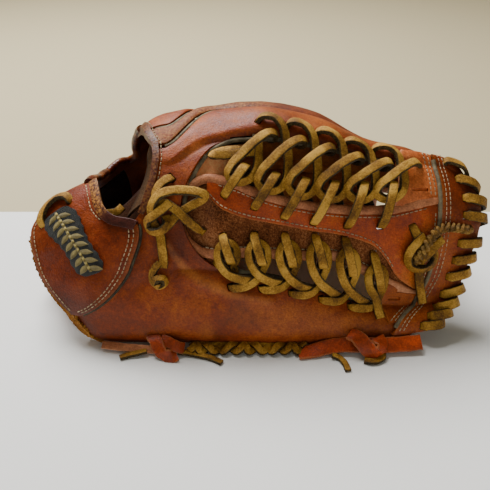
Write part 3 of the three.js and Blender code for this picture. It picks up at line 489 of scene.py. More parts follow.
def swell(x, seam):
    total = 0.35 * waves(x, seam, 9.0) + 0.12 * waves(x, seam, 3.2, 5)
    for s in SWELLS:
        total = total + s["height"] * np.exp(-((line_distance(x, seam, s["line"]) / s["width"]) ** 2))
    return total


print("swell at the hole's edge:", swell(-32, 0.865).round(2), "mm")

# %% [markdown]
# ## Finishes
# A worn leather is never one colour. It could be painted by hand on an image, but here each
# finish is made of nodes and fits any piece. It mixes a dark, a middle and a light tone with
# broad and fine noise, lightens where the wear mark is set, which also holds painted highlight,
# darkens where the dirt mark is, which is mostly painted shade, and gets its grain and creases
# as bump, with the creases also darkened as painted shade.
# %% Node helpers
def linear(hex_colour):
    parts = [int(hex_colour[i : i + 2], 16) / 255 for i in (1, 3, 5)]
    return [c / 12.92 if c <= 0.04045 else ((c + 0.055) / 1.055) ** 2.4 for c in parts] + [1.0]


def new_finish(name):
    finish = bpy.data.materials.new(name)
    finish.use_nodes = True
    tree = finish.node_tree
    tree.nodes.clear()
    return finish, tree


def node(tree, kind, settings=None, **inputs):
    made = tree.nodes.new(kind)
    for key, value in (settings or {}).items():
        setattr(made, key, value)
    for key, value in inputs.items():
        socket = made.inputs[int(key[1:])] if key[0] == "_" else made.inputs[key.replace("_", " ")]
        if isinstance(value, bpy.types.NodeSocket):
            tree.links.new(value, socket)
        else:
            socket.default_value = value
    return made


def noise(tree, where, scale, detail=3.0, roughness=0.55, distortion=0.0, kind="FBM"):
    made = node(
        tree, "ShaderNodeTexNoise", {"noise_type": kind}, Vector=where, Scale=scale, Detail=detail,
        Roughness=roughness, Distortion=distortion,
    )
    return made.outputs["Fac"]


print("black and white in linear light:", linear("#000000")[0], linear("#ffffff")[0])

# %% [markdown]
# A ramp turns noise into colours, a mix lays one colour over another, and sums and products make
# heights. A finish ends in one Principled shader, with its height as bump.
# %% Colours and heights
def ramp(tree, factor, *stops):
    made = node(tree, "ShaderNodeValToRGB", Fac=factor)
    elements = made.color_ramp.elements
    while len(elements) < len(stops):
        elements.new(0.5)
    for element, (position, colour) in zip(elements, stops):
        element.position = position
        element.color = linear(colour) if isinstance(colour, str) else (colour, colour, colour, 1)
    return made.outputs["Color"]


def blend(tree, factor, a, b, how="MIX"):
    made = node(tree, "ShaderNodeMix", {"data_type": "RGBA", "blend_type": how})
    for index, value in ((0, factor), (6, a), (7, b)):
        if isinstance(value, bpy.types.NodeSocket):
            tree.links.new(value, made.inputs[index])
        else:
            made.inputs[index].default_value = linear(value) if isinstance(value, str) else value
    return made.outputs[2]


def calculate(tree, how, a, b, clamp=False):
    return node(tree, "ShaderNodeMath", {"operation": how, "use_clamp": clamp}, _0=a, _1=b).outputs[0]


def times(tree, a, b, clamp=False):
    return calculate(tree, "MULTIPLY", a, b, clamp)


def summed(tree, *parts):
    total = None
    for value, share in parts:
        part = value if share == 1 else times(tree, value, share)
        total = part if total is None else calculate(tree, "ADD", total, part)
    return total


def spots_of(tree, kind="Object"):
    return node(tree, "ShaderNodeTexCoord").outputs[kind]


def marked(tree, name):
    return node(tree, "ShaderNodeAttribute", {"attribute_name": name}).outputs["Fac"]


def finished(tree, colour, roughness, height, depth, specular, sheen=0.0):
    bump = node(tree, "ShaderNodeBump", Strength=1.0, Distance=depth * MM, Height=height)
    surface = node(
        tree, "ShaderNodeBsdfPrincipled", Base_Color=colour, Roughness=roughness,
        Normal=bump.outputs["Normal"],
    )
    surface.inputs["Specular IOR Level"].default_value = specular
    surface.inputs["Sheen Weight"].default_value = sheen
    node(tree, "ShaderNodeOutputMaterial", Surface=surface.outputs["BSDF"])


print("bump depths are given in mm, as", MM, "m")

# %% [markdown]
# The leather's grain is a fine cell pattern, its creases are a ridged noise drawn out along the
# hand, and the broad mottling comes from handling and sun. One recipe serves every hide, so
# that they look tanned together, and each hide only has its own colours and gloss.
# %% Leather
CREASE_DRAWN = (0.45, 1, 1)


def leather(
    name, dark, middle, light, rubbed_and_highlit, shade_and_grime="#241006", gloss=0.5, grain=1.0, creases=1.0, rub_scale=75,
    rub=((0.25, 0.25), (0.6, 1.0)),
):
    finish, tree = new_finish(name)
    where = spots_of(tree)
    broad = noise(tree, where, 16, 4, 0.6, 0.4)
    patchy = noise(tree, where, 75, 4, 0.65, 0.3)
    fine = noise(tree, where, 900, 2)
    pores = noise(tree, where, 420, 3, 0.75)
    tone = summed(tree, (broad, 0.5), (patchy, 0.3), (pores, 0.2))
    colour = ramp(tree, tone, (0.38, dark), (0.5, middle), (0.63, light))
    # The wear mark lightens towards the rubbed colour. On the backs' ridges, the facing and the thongs' edges
    # it is painted highlight as well as wear.
    rub_and_highlight_pattern = ramp(tree, noise(tree, where, rub_scale, 4, 0.65, 0.3), *rub)
    colour = blend(tree, times(tree, marked(tree, "wear_and_highlight"), rub_and_highlight_pattern, True), colour, rubbed_and_highlit)
    along = node(tree, "ShaderNodeMapping", Vector=where, Scale=CREASE_DRAWN).outputs["Vector"]
    lined = noise(tree, along, 150, 3, 0.6, 1.2, "RIDGED_MULTIFRACTAL")
    crease = ramp(tree, lined, (0.55, 0.0), (0.95, 1.0))
    # Painted shade: the creases are darkened in the colour as well as sunk in the bump.
    colour = blend(tree, times(tree, crease, 0.22 * creases), colour, dark)
    # Painted shade: the dirt mark darkens towards the grime colour, and it is set mostly where shade falls,
    # with some real dirt.
    dirt_and_shade = times(tree, marked(tree, "dirt_and_shade"), ramp(tree, patchy, (0.2, 0.55), (0.7, 1.0)), True)
    colour = blend(tree, dirt_and_shade, colour, shade_and_grime)
    colour = blend(tree, 0.3, colour, ramp(tree, fine, (0.3, 0.1), (0.7, 0.95)), "OVERLAY")
    cells = node(tree, "ShaderNodeTexVoronoi", Vector=where, Scale=1100.0).outputs["Distance"]
    height = summed(tree, (cells, 0.3 * grain), (patchy, 0.5), (pores, 0.5 * grain))
    height = calculate(tree, "SUBTRACT", height, times(tree, crease, 0.5 * creases))
    roughness = ramp(tree, patchy, (0.25, gloss - 0.08), (0.75, gloss + 0.14))
    finished(tree, colour, roughness, height, 0.45, 0.3)
    return finish


SHELL = leather("shell_leather", "#5a2000", "#823200", "#aa5410", "#bc7430")
PANEL = leather("panel_leather", "#421400", "#742800", "#923e08", "#a05820", gloss=0.42, creases=0.5)
PALM = leather("palm_leather", "#6f3510", "#9a561e", "#b87832", "#c99450", gloss=0.6)
ORANGE = leather("overlay_leather", "#7c2a00", "#ac4200", "#c46610", "#cc8038", gloss=0.42, creases=0.5)
PINK = leather("rolled_leather", "#84492a", "#b8744c", "#d8966c", "#e0ae88", gloss=0.62, creases=0.6)
THONG = leather("thong_leather", "#5a2006", "#92360a", "#ce4c10", "#9c6c40", gloss=0.45, creases=0.6)
# The facing's colours are brightened beyond its leather's own: painted light for the shade of the hole's rim.
FACING_WITH_PAINTED_LIGHT = leather("facing_leather", "#b85c24", "#ec8e4c", "#ffac6c", "#ffbc84", gloss=0.6, shade_and_grime="#5a3014")
TAB = leather("tab_leather", "#903e16", "#cc6e36", "#e09260", "#ecb084", gloss=0.38, creases=0.5)
SPECKLED = {"rub_scale": 620, "rub": ((0.42, 0.0), (0.6, 1.0))}
BOUND = leather("binding_leather", "#260a04", "#481a0e", "#642c18", "#ac7434", gloss=0.45, **SPECKLED)
RIDGE = leather("ridge_leather", "#3c1400", "#6a2a08", "#8a4212", "#96602c", gloss=0.6, **SPECKLED)
RIM_LEATHER = leather("rim_leather", "#260600", "#4a1402", "#6e2606", "#8a4818", gloss=0.3, creases=0.8)
print("leathers:", [finish.name for finish in bpy.data.materials if "leather" in finish.name])

# %% [markdown]
# Suede is the flesh side of the hide: short fibres, no gloss, and a speckle of light and dark.
# Fibres could be hair, but at this size a fine noise reads the same. The welts are leather
# piping, grey-brown with a fine grain, and the thread has the same recipe.
# %% Suede, lining, welts and thread
def suede(name, dark, middle, light, depth=0.5, sheen=0.15):
    finish, tree = new_finish(name)
    where = spots_of(tree)
    speckle = noise(tree, where, 1000, 3, 0.7)
    tone = summed(tree, (noise(tree, where, 40, 3), 0.45), (speckle, 0.55))
    colour = ramp(tree, tone, (0.38, dark), (0.5, middle), (0.62, light))
    # Painted shade: the dirt mark darkens the suede where it is set, mostly where shade falls.
    colour = blend(tree, marked(tree, "dirt_and_shade"), colour, dark)
    finished(tree, colour, 0.95, speckle, depth, 0.1, sheen)
    return finish


def piping(name, dark, light):
    finish, tree = new_finish(name)
    where = spots_of(tree)
    colour = ramp(tree, noise(tree, where, 160, 4, 0.6), (0.35, dark), (0.65, light))
    finished(tree, colour, 0.7, noise(tree, where, 1400, 2), 0.25, 0.3)
    return finish


SUEDE = suede("web_suede", "#442410", "#864c28", "#bc7e50")
LINING = suede("lining_suede", "#120703", "#261208", "#3c2210", 0.4, 0.0)
STRIP_SUEDE = suede("strip_suede", "#2c1c10", "#4e3622", "#745636", 0.5, 0.0)
RAW_EDGE = suede("raw_edge", "#4e2c10", "#8c5824", "#b8823e", 0.8, 0.0)
WELT = piping("welt_leather", "#4c4230", "#8a7e62")
DARK_WELT = piping("dark_welt_leather", "#221c12", "#4a4230")
THREAD = piping("thread", "#7c684a", "#cdb892")
print("suedes:", [finish.name for finish in (SUEDE, LINING, STRIP_SUEDE, RAW_EDGE)])

# %% [markdown]
# Lace is rawhide, golden on its grain side and dark olive along its cut edges and on its flesh
# side. Two materials could do this, but the ribbon's own points say which side is which, so
# that the colours run into each other at the edge.
# %% Lace
LACE_FLESH = "#5a4820"


def rawhide(name, dark, middle, light, side):
    finish, tree = new_finish(name)
    where = spots_of(tree)
    fibre = noise(tree, where, 1300, 3, 0.7)
    speckle = noise(tree, where, 1000, 3, 0.7)
    tone = summed(tree, (noise(tree, where, 55, 4, 0.6), 0.65), (speckle, 0.35))
    colour = ramp(tree, tone, (0.38, dark), (0.5, middle), (0.6, light))
    cut_edge = times(tree, marked(tree, "cut"), ramp(tree, fibre, (0.3, 0.85), (0.6, 1.0)), True)
    colour = blend(tree, cut_edge, colour, ramp(tree, speckle, (0.45, side), (0.72, LACE_FLESH)))
    split = noise(tree, where, 420, 3, 0.6, 0.8, "RIDGED_MULTIFRACTAL")
    cracks = ramp(tree, split, (0.6, 0.0), (0.95, 1.0))
    # Painted shade: the cracks are darkened in the colour as well as sunk in the bump.
    colour = blend(tree, times(tree, cracks, 0.35), colour, dark)
    height = summed(tree, (fibre, 1), (speckle, 0.8))
    height = calculate(tree, "SUBTRACT", height, times(tree, cracks, 0.6))
    finished(tree, colour, 0.66, height, 0.45, 0.25)
    return finish


LACE = rawhide("lace_rawhide", "#5e3c0c", "#a07222", "#cf9e40", "#241c0e")
CORD_LACE = rawhide("cord_rawhide", "#4a320e", "#8a6228", "#bc944c", "#181208")
print("laces:", LACE.name, CORD_LACE.name)

# %% [markdown]
# ## The backs
# The thumb's and the index finger's backs are one hide, with a round hole for the web. A hole
# could be cut by a Boolean, but its edge would be ragged. The hide is laid out as one grid
# whose rows follow the hole, and the faces inside it are taken away.
# %% Layout of the backs
DENSE = 5
BACKS = {
    "thumb_index_back": {"at": [0, 4, 5, 11, 12, 16], "seam": [0, 0.96, 1.04, 1.96, 2.04, 2.96]},
    "middle_back": {"at": [0, 4], "seam": [3.04, 3.96]},
    "ring_back": {"at": [0, 4], "seam": [4.04, 4.96]},
    "pinky_back": {"at": [0, 4], "seam": [5.04, 6.0]},
}
WEB_CELLS = (4, 12)
TIP_OF_STALL = np.array([TIPS[name] or SLIT for name in STALL_NAMES], float)
ROUNDED = np.array([TIPS[name] is not None for name in STALL_NAMES])


def back_layout(layout, u, v):
    seam = np.interp(v * layout["at"][-1], layout["at"], layout["seam"])
    stall = np.minimum(np.floor(seam), 5).astype(int)
    tip = TIP_OF_STALL[stall]
    x = row_place(u * ROW_COUNT, seam, back_start(gathered(OPENING_X, seam)), tip)
    end = np.where(ROUNDED[stall], tip_shape(x, tip), 1)
    centre = stall + 0.5
    across = back_seam(x, centre + (seam - centre) * mix(0.4, 1, end))
    return x, seam, across, end


def back_spot(layout):
    def spot(u, v):
        x, seam, across, end = back_layout(layout, u, v)
        edges = np.minimum(1, np.minimum(seam % 1, 1 - seam % 1) * 8)
        return place(x, across, (back_height(x, seam) + swell(x, across) * edges) * end)

    return spot


print("stalls with a round tip:", int(ROUNDED.sum()))

# %% [markdown]
# The valleys beside the seams are darkened as painted shade, and so are the thumb's lower side and
# the ends under the panels. The ridges and the top of each back are lighter: wear with a painted
# highlight. The middle finger's back is rubbed most of all, where a hand holds the glove. Wear could
# be painted on, but marks that come from the leather's own height stay with it when its shape is changed.
# %% Backs
def over_faces(piece, values):
    corners = np.empty(len(piece.data.loops), int)
    piece.data.loops.foreach_get("vertex_index", corners)
    return values[corners.reshape(-1, 4)].mean(1)


def make_back(name, layout):
    cells = layout["at"][-1]
    piece, u, v = laid(name + "_hide", ROW_COUNT * DENSE, cells * DENSE, back_spot(layout))
    x, seam, across, _ = back_layout(layout, u, v)
    # Painted shade: darker in the valleys beside the seams, at the ends under the panels and along the
    # thumb's lower side towards its tip.
    valley = 1 - smooth(0.2, 2.6, back_height(x, seam))
    dirt_and_shade = 0.75 * valley * smooth(-60, -20, x) + 0.45 * smooth(-95, -118, x)
    mark(piece, "dirt_and_shade", dirt_and_shade + 0.8 * smooth(0.45, 0.1, across) * smooth(15, 75, x))
    # Lighter on the swells' ridges and on the top of each back: wear with a painted highlight.
    rubbed_and_highlit = 0.6 * np.clip(swell(x, across) - 1.2, 0, 1) + 0.2 * smooth(4.5, 6, back_height(x, seam))
    if name == "middle_back":
        rubbed_and_highlit = rubbed_and_highlit + 0.95 * smooth(25, -5, x)
    mark(piece, "wear_and_highlight", rubbed_and_highlit)
    if name == "thumb_index_back":
        row = over_faces(piece, u * ROW_COUNT)
        cell = over_faces(piece, v * cells)
        drop_faces(piece, (row > ROWS["palm"]) & (cell > WEB_CELLS[0]) & (cell < WEB_CELLS[1]))
    thicken(piece, LEATHER)
    return piece


backs = {name: make_back(name, layout) for name, layout in BACKS.items()}
for name, piece in backs.items():
    shown(piece, RIDGE if name == "middle_back" else SHELL, "shell", name)

# %% [markdown]
# ## The palm
# The palm is one padded hide: the pocket, and the fronts of the thumb and the fingers. It has
# an outer skin that touches the ball and an inner skin that touches the hand. Solidify would
# make it equally thick everywhere, so it is built between the two skins. The columns of points
# run along the stalls, and the web's stall has no palm beyond the hole.
# %% Palm's depth and columns
LIP = LEATHER + GAP
PALM_COLUMNS = {"finger": 17, "web": 19}
FINE = 4


def palm_depth(x, stall, across):
    seam = stall + 0.5 - 0.47 * np.cos(math.pi * across)
    palm = column(DEPTHS, "palm", x)
    whole = np.clip(1 - np.abs(seam / 3 - 1) ** 2.6, 0, 1) ** (1 / 2.2)
    single = np.sin(math.pi * across).clip(0) ** 0.6
    part = mix(whole, np.where(ROUNDED[stall], single, 0.3), smooth(-40, 15, x))
    near = smooth(0, 30, hole_edge(seam) - x)
    return seam, (palm - LIP) * part * np.where(ROUNDED[stall], 1, near)


palm_columns = [
    (stall, c / (count - 1))
    for stall, name in enumerate(STALL_NAMES)
    for count in [PALM_COLUMNS["finger" if TIPS[name] else "web"]]
    for c in range(count)
]
column_stall = np.array([stall for stall, _ in palm_columns])
column_across = np.array([across for _, across in palm_columns])
palm_rows = np.arange(ROW_COUNT * FINE + 1) / FINE
print("the palm is deepest at the heel:", DEPTHS["palm"].max(), "mm")

# %% [markdown]
# Each skin is a sheet of points, and walls close the palm between them wherever a face has no
# neighbour. The inner skin is the palm's dark lining. It could be a piece of its own, but the two
# would cut through each other, so its faces only get a material of their own.
# %% Palm
def two_skins(name, upper, lower, keep):
    rows, columns = upper.shape[:2]
    at = lambda layer, i, j: int(layer * rows * columns + i * columns + j)
    there = lambda i, j: 0 <= i < rows - 1 and 0 <= j < columns - 1 and keep[i, j]
    faces = []
    for i, j in np.argwhere(keep):
        a, b, c, d = (i, j), (i + 1, j), (i + 1, j + 1), (i, j + 1)
        faces.append([at(0, *p) for p in (a, b, c, d)])
        faces.append([at(1, *p) for p in (a, d, c, b)])
        sides = [((i, j - 1), b, a), ((i + 1, j), c, b), ((i, j + 1), d, c), ((i - 1, j), a, d)]
        for beside, p, q in sides:
            if not there(*beside):
                faces.append([at(0, *p), at(0, *q), at(1, *q), at(1, *p)])
    return from_faces(name, [upper, lower], faces)


def palm_skin(inner):
    row, stall = np.meshgrid(palm_rows, column_stall, indexing="ij")
    across = np.broadcast_to(column_across, row.shape)
    tip = TIP_OF_STALL[stall]
    seam, _ = palm_depth(0, stall, across)
    x = row_place(row, seam, heel_edge(seam), tip)
    _, low = palm_depth(x, stall, across)
    end = np.where(ROUNDED[stall], tip_shape(x, tip), 1)
    low = low * end
    centre = stall + 0.5
    wall = np.where(row > ROWS["palm"], 1, smooth(-60, 0, x))
    q = centre + (seam - centre) * (1 - 0.16 * wall * inner) * mix(0.4, 1, end)
    inside = np.maximum(LIP, LIP + low - column(DEPTHS, "pad", x))
    outside = np.maximum(LIP + low, LIP + (1 - end) * LEATHER)
    return place(np.minimum(x, tip - 1.5) if inner else x, q, -(inside if inner else outside))


here, beyond = column_stall[:-1], column_stall[1:]
cell_row, bridge = np.meshgrid(palm_rows[:-1], here != beyond, indexing="ij")
beside_web = ~ROUNDED[here] | ~ROUNDED[beyond]
palm_keep = (cell_row < ROWS["palm"]) | (~beside_web & ((cell_row < ROWS["palm"] + ROWS["hole"]) | ~bridge))
palm = two_skins("palm_hide", palm_skin(True), palm_skin(False), palm_keep)
mark(palm, "inner", np.repeat([1.0, 0.0], len(palm_rows) * len(palm_columns)))
# Painted shade: the web's stall and the stall walls beside it are darkened beyond the hole, where the pocket
# lies in shade.
outer_columns = (np.abs(column_stall - 1) == 1) & ((column_across == 0) | (column_across == 1))
shade_beside_web = 0.6 * (~ROUNDED[column_stall] | outer_columns)
mark(palm, "dirt_and_shade", np.tile(np.outer(palm_rows > ROWS["palm"], shade_beside_web).ravel(), 2))
edited(palm, bpy.ops.mesh.delete_loose)
rounded(palm, 0.7, sharp=SHARP_TURN["palm"])
smoothed(palm, "palm")
shown(palm, PALM, "palm", "palm_shell")
palm.data.materials.append(LINING)
inner = np.empty(len(palm.data.vertices))
palm.data.attributes["inner"].data.foreach_get("value", inner)
lined = [int(min(inner[v] for v in face.vertices) > 0.5) for face in palm.data.polygons]
palm.data.polygons.foreach_set("material_index", lined)
print("lined faces:", sum(lined))

# %% [markdown]
# ## The wrist
# Two base panels lie over the backs' ends, and the strap runs under their rounded corners. The
# two panels could be one mirrored piece, but the arch isn't the same on both sides, so the
# same outline is laid on each side instead.
# %% Base panels and strap
PANEL_GAP = 0.8
BASE = table(
    "seam heel end",
    (0.45, -113, -107),
    (0.6, -120.5, -94),
    (0.8, -128.5, -82.5),
    (1.05, -135, -74),
    (1.37, -139.5, -69),
    (1.48, -140.5, -84),
    (1.62, -141, -92),
    (1.78, -137, -95.5),
    (1.92, -130, -98),
    (1.99, -122, -99.5),
)
BASE_SPAN = (BASE["seam"][0], BASE["seam"][-1])
WRIST_STRAP = {"middle": -121, "half": 16.5, "from": 1.86, "to": 4.14}


def over_back(x, seam):
    return back_height(x, seam) + PANEL_GAP


def panel_out(x, seam):
    return over_back(x, seam) + LEATHER + 0.5 * waves(x, seam, 8.0, 3)


def panel_spot(side):
    def spot(u, v):
        s = mix(*BASE_SPAN, v if side > 0 else 1 - v)
        x = mix(column(BASE, "heel", s, "seam"), column(BASE, "end", s, "seam"), u)
        seam = s if side > 0 else 6 - s
        return place(x, seam, panel_out(x, seam))

    return spot


def make_panel(thumb_or_pinky, side):
    piece, u, v = laid(thumb_or_pinky + "_base_hide", 40, 72, panel_spot(side))
    from_edge = v if side > 0 else 1 - v
    mark(piece, "wear_and_highlight", 0.5 * (smooth(0.06, 0.0, u) + smooth(0.94, 1.0, u)))
    # Painted shade: darker towards the panel's lower edge and towards its heel.
    mark(piece, "dirt_and_shade", 0.5 * smooth(0.35, 0.0, from_edge) + 0.25 * smooth(0.3, 0.0, u))
    thicken(piece, LEATHER, 0.7)
    shown(piece, PANEL, "panel", thumb_or_pinky + "_base_panel")
    return piece


thumb_panel = make_panel("thumb", 1)
make_panel("pinky", -1)


def strap_spot(u, v):
    wide = WRIST_STRAP["half"] * mix(0.55, 1, np.sqrt(np.clip(1 - (2 * v - 1) ** 6, 0, 1)))
    x = WRIST_STRAP["middle"] + (2 * u - 1) * wide
    seam = mix(WRIST_STRAP["from"], WRIST_STRAP["to"], v)
    return place(x, seam, back_height(x, seam) + 0.8 * np.sqrt(np.clip(1 - (2 * u - 1) ** 2, 0, 1)))


wrist_strap, u, v = laid("wrist_strap_leather", 24, 90, strap_spot)
mark(wrist_strap, "wear_and_highlight", 0.7 * smooth(0.14, 0.0, u) + 0.7 * smooth(0.86, 1.0, u))
# Painted shade: darker at the end that runs under the thumb's panel.
mark(wrist_strap, "dirt_and_shade", 0.4 * smooth(0.3, 0.0, v))
thicken(wrist_strap, LEATHER, 0.8)
shown(wrist_strap, SHELL, "shell", "wrist_strap")

# %% [markdown]
# ## Bindings
# The opening's edges are bound: a strip of thin leather folded over the edge and sewn down. A
# curve with a bevel profile could make it, but it would twist in the corner. Its cross-section
# is a U, which is drawn along the edge point by point and then bevelled.
# %% Bindings
BINDING = [(5, 1.6), (5, 0.4), (-0.4, 0.4), (-0.4, -2.8), (3, -2.8), (3, -3.7), (-1.6, -3.7), (-1.6, 1.6)]
PANEL_SEAM_MM = 74


def bound(name, x, seam, top, toward, slot, node_name, reach, rubbed_and_highlit):
    run = np.gradient(np.stack([x, seam * PANEL_SEAM_MM], -1), axis=0)
    inward = unit(np.stack([run[:, 1], -run[:, 0]], -1))
    inward = inward * np.sign(inward[:, 0].mean() * toward)
    rings = []
    for a, b in BINDING:
        in_x, in_seam = inward.T * (a * reach if a > 0 else a)
        rings.append(place(x + in_x, seam + in_seam / PANEL_SEAM_MM, top + b))
    piece = lofted(name, np.stack(rings, 1))
    mark(piece, "wear_and_highlight", rubbed_and_highlit)
    rounded(piece, 0.75, 3)
    smoothed(piece, "tube")
    shown(piece, BOUND, slot, node_name)


over_fingers = [np.linspace(stall + EDGE, stall + 1 - EDGE, 30) for stall in (2, 3, 4, 5)]
opening = np.concatenate([np.linspace(1.5, 1.96, 16), *over_fingers])
opening_x = back_start(gathered(OPENING_X, opening))
opening_seam = back_seam(opening_x, opening)
opening_top = back_height(opening_x, opening)
near_part = opening_seam < 3.2
near_edge = [values[near_part] for values in (opening_x, opening_seam, opening_top)]
bound("finger_opening_edge", *near_edge, 1, "panel", "finger_opening_binding", 0.5, 0.35)

seam = np.linspace(1.385, 1.99, 60)
x = column(BASE, "end", seam, "seam")
top = over_back(x, seam) + LEATHER
rubbed_and_highlit = np.repeat(smooth(1.52, 1.62, seam), len(BINDING))
bound("thumb_opening_edge", x, seam, top, -1, "pink", "thumb_opening_binding", 0.8, rubbed_and_highlit)

# %% [markdown]
# ## Strips, welts and laces
# A lace is a flat ribbon along a smooth curve. A bevelled curve object would twist freely, so
# the ribbon's frames are worked out here. At each stop of its route it has an up side, and in a
# bend it leans outwards, as a real strip does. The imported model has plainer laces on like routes.
# %% Routes
LACE_SIZE = {"width": 5.5, "thick": 2.8}
LEAN = 8.0
STEPS = 7


def on(rows):
    x, seam, out = np.array(rows, float).T
    return {"at": place(x, seam, out), "up": rise(x, seam)}


def traced(x, seam, out):
    return on(np.stack(np.broadcast_arrays(x, seam, out), 1))


def level(rows, ups=None):
    at = (np.array(rows, float) - [CENTRE[0], CENTRE[1], 0]) * MM
    up = np.array([[0, 0, 1.0]] * len(rows)) if ups is None else np.array(ups, float)
    return {"at": at, "up": up}


print("up at the crown's rim:", traced([130], 1.5, 0)["up"].round(2))

# %% [markdown]
# Between the stops runs a smooth curve through all of them, and a frame is carried along it: the
# way the strip goes and its up side. Where two ups differ, the strip turns evenly between them.
# %% Frames along a route
def turned(v, a, b):
    axis = np.cross(a, b)
    return v * (a @ b) + np.cross(axis, v) + axis * (axis @ v) / (1.0001 + a @ b)


def stop_ups(at, up, lean):
    count = len(at)
    along = np.array([at[min(i + 1, count - 1)] - at[max(i - 1, 0)] for i in range(count)])
    ways = unit(along)
    ups = []
    for i in range(count):
        square = lambda v: v - ways[i] * (v @ ways[i])
        this = square(up[i])
        carried = unit(square(turned(ups[-1], ways[i - 1], ways[i]) if ups else this))
        if this @ carried < 0:
            this = -this
        if 0 < i < count - 1:
            outward = square((ways[i + 1] - ways[i - 1]) * (-lean * MM / np.linalg.norm(along[i])))
            outward = outward - min(0, 2 * (outward @ carried)) * carried
            this = this + outward
        strength = min(np.linalg.norm(this) / 0.7, 1) ** 2
        ups.append(unit(unit(this) * strength + carried * (1 - 0.8 * strength)))
    return np.array(ups)


def through(stops, steps):
    ends = np.vstack([2 * stops[0] - stops[1], stops, 2 * stops[-1] - stops[-2]])
    d = np.linalg.norm(np.diff(ends, axis=0), axis=1)[:, None] ** 0.5
    p0, p1, p2, p3 = ends[:-3], ends[1:-2], ends[2:-1], ends[3:]
    d0, d1, d2 = d[:-2], d[1:-1], d[2:]
    t1 = ((p1 - p0) / d0 - (p2 - p0) / (d0 + d1) + (p2 - p1) / d1) * d1
    t2 = ((p2 - p1) / d1 - (p3 - p1) / (d1 + d2) + (p3 - p2) / d2) * d1
    t = (np.arange(steps) / steps)[None, :, None]
    inner = hermite(p1[:, None], p2[:, None], t1[:, None], t2[:, None], t).reshape(-1, 3)
    return np.vstack([inner, stops[-1:]])


def frames_along(route, lean=LEAN, steps=STEPS):
    ups = stop_ups(route["at"], route["up"], lean)
    at = through(route["at"], steps)
    t = np.arange(len(at)) / steps
    i = np.minimum(t.astype(int), len(ups) - 2)
    part = (t - i)[:, None]
    way = unit(np.gradient(at, axis=0))
    square = lambda v: unit(v - way * np.sum(v * way, -1, keepdims=True))
    a, b = square(ups[i]), square(ups[i + 1])
    twist = np.arctan2(np.sum(np.cross(a, b) * way, -1), np.sum(a * b, -1))[:, None] * part
    return at, way, a * np.cos(twist) + np.cross(way, a) * np.sin(twist)


print("a route has", STEPS, "steps between two stops")

# %% [markdown]
# A ring of corners is set square to the route at each step. The ribbon's section is rounded on
# its grain side, and its cut edges and flesh side are marked, so that the finish can tell them
# apart. Where a lace passes through its hole, it is pinched narrower. Nothing goes below the
# floor.
# %% Ribbons and tubes
ROUND_STRIP = [
    (-0.5, 0.3, 1), (-0.48, 0.43, 1), (-0.4, 0.52, 0), (-0.2, 0.54, 0), (0.2, 0.54, 0), (0.4, 0.52, 0),
    (0.48, 0.43, 1), (0.5, 0.3, 1), (0.5, -0.3, 1), (0.45, -0.48, 1), (0.15, -0.5, 1), (-0.15, -0.5, 1),
    (-0.45, -0.48, 1), (-0.5, -0.3, 1),
]
PINCH = {"by": 0.36, "reach": 0.55}


def ribbon_rings(route, width, thick, lean, steps=STEPS, wobble=0.0, holes=()):
    at, way, up = frames_along(route, lean, steps)
    side = np.cross(way, up)
    t = np.arange(len(at)) * 1.0
    size = 1 + wobble * (np.sin(t * 0.9 + len(at)) + 0.6 * np.sin(t * 2.3 + 2))
    wide = size.copy()
    for hole in holes:
        wide *= 1 - PINCH["by"] * np.exp(-(((t / steps - hole) / PINCH["reach"]) ** 2))
    rings = [
        at + side * (s * width * MM * wide)[:, None] + up * (u * thick * MM * size)[:, None]
        for s, u, _ in ROUND_STRIP
    ]
    rings = np.stack(rings, 1)
    rings[..., 2] = np.maximum(rings[..., 2], 0)
    return rings


def ribbon(name, route, width=LACE_SIZE["width"], thick=LACE_SIZE["thick"], lean=LEAN, holes=()):
    rings = ribbon_rings(route, width, thick, lean, wobble=0.025, holes=holes)
    piece = lofted(name, rings)
    cut = np.tile([c for _, _, c in ROUND_STRIP], len(rings))
    mark(piece, "cut", cut)
    # Painted highlight: the wear mark is set on the cut edges and the flesh side, which lightens the edges of
    # the leather thongs.
    mark(piece, "wear_and_highlight", 0.6 * cut)
    smoothed(piece, "strip")
    return piece


def tube(name, route, radius, sides=10, steps=4, flat=1.0, wrinkle=0.0):
    at, way, up = frames_along(route, 0.0, steps)
    side = np.cross(way, up)
    turns = np.arange(sides) / sides * 2 * math.pi
    t = np.arange(len(at))
    pull = 1 + wrinkle * (np.sin(t * 0.42) + 0.6 * np.sin(t * 1.1 + 1) + 0.5 * np.sin(t * 2.7 + 2))
    rings = np.stack(
        [at + (side * math.cos(a) + up * math.sin(a) * flat) * radius * MM * pull[:, None] for a in turns], 1
    )
    rings[..., 2] = np.maximum(rings[..., 2], 0)
    piece = lofted(name, rings)
    smoothed(piece, "tube")
    return piece


print("a ribbon's section has", len(ROUND_STRIP), "corners")

# %% [markdown]
# The welts lie in the valleys between the finger backs and round the web's hole. They are
# rounds of leather sewn into the seam, so each is a tube whose lower half is hidden.
# %% Welts
WELT_RADIUS = 1.45
WELT_OUT = 0.5
HOLE_WELT_OUT = 0.2
WELT_END = {"finger": 84, "thumb": 79}

for name, seam in (("index", 3.0), ("middle", 4.0), ("ring", 5.0)):
    start = float(back_start(gathered(OPENING_X, seam)))
    x = np.linspace(start + 6.2, WELT_END["finger"], 44)
    route = traced(x, gathered(x, seam), WELT_OUT)
    shown(tube(name + "_piping", route, WELT_RADIUS), WELT, "welt", name + "_welt")


def hole_side(seam, last):
    return traced(np.linspace(HOLE["mouth"] + 1, last, 14), seam, HOLE_WELT_OUT)


def backwards(route):
    return {key: values[::-1] for key, values in route.items()}


def joined(*routes):
    return {key: np.concatenate([route[key] for route in routes]) for key in ("at", "up")}


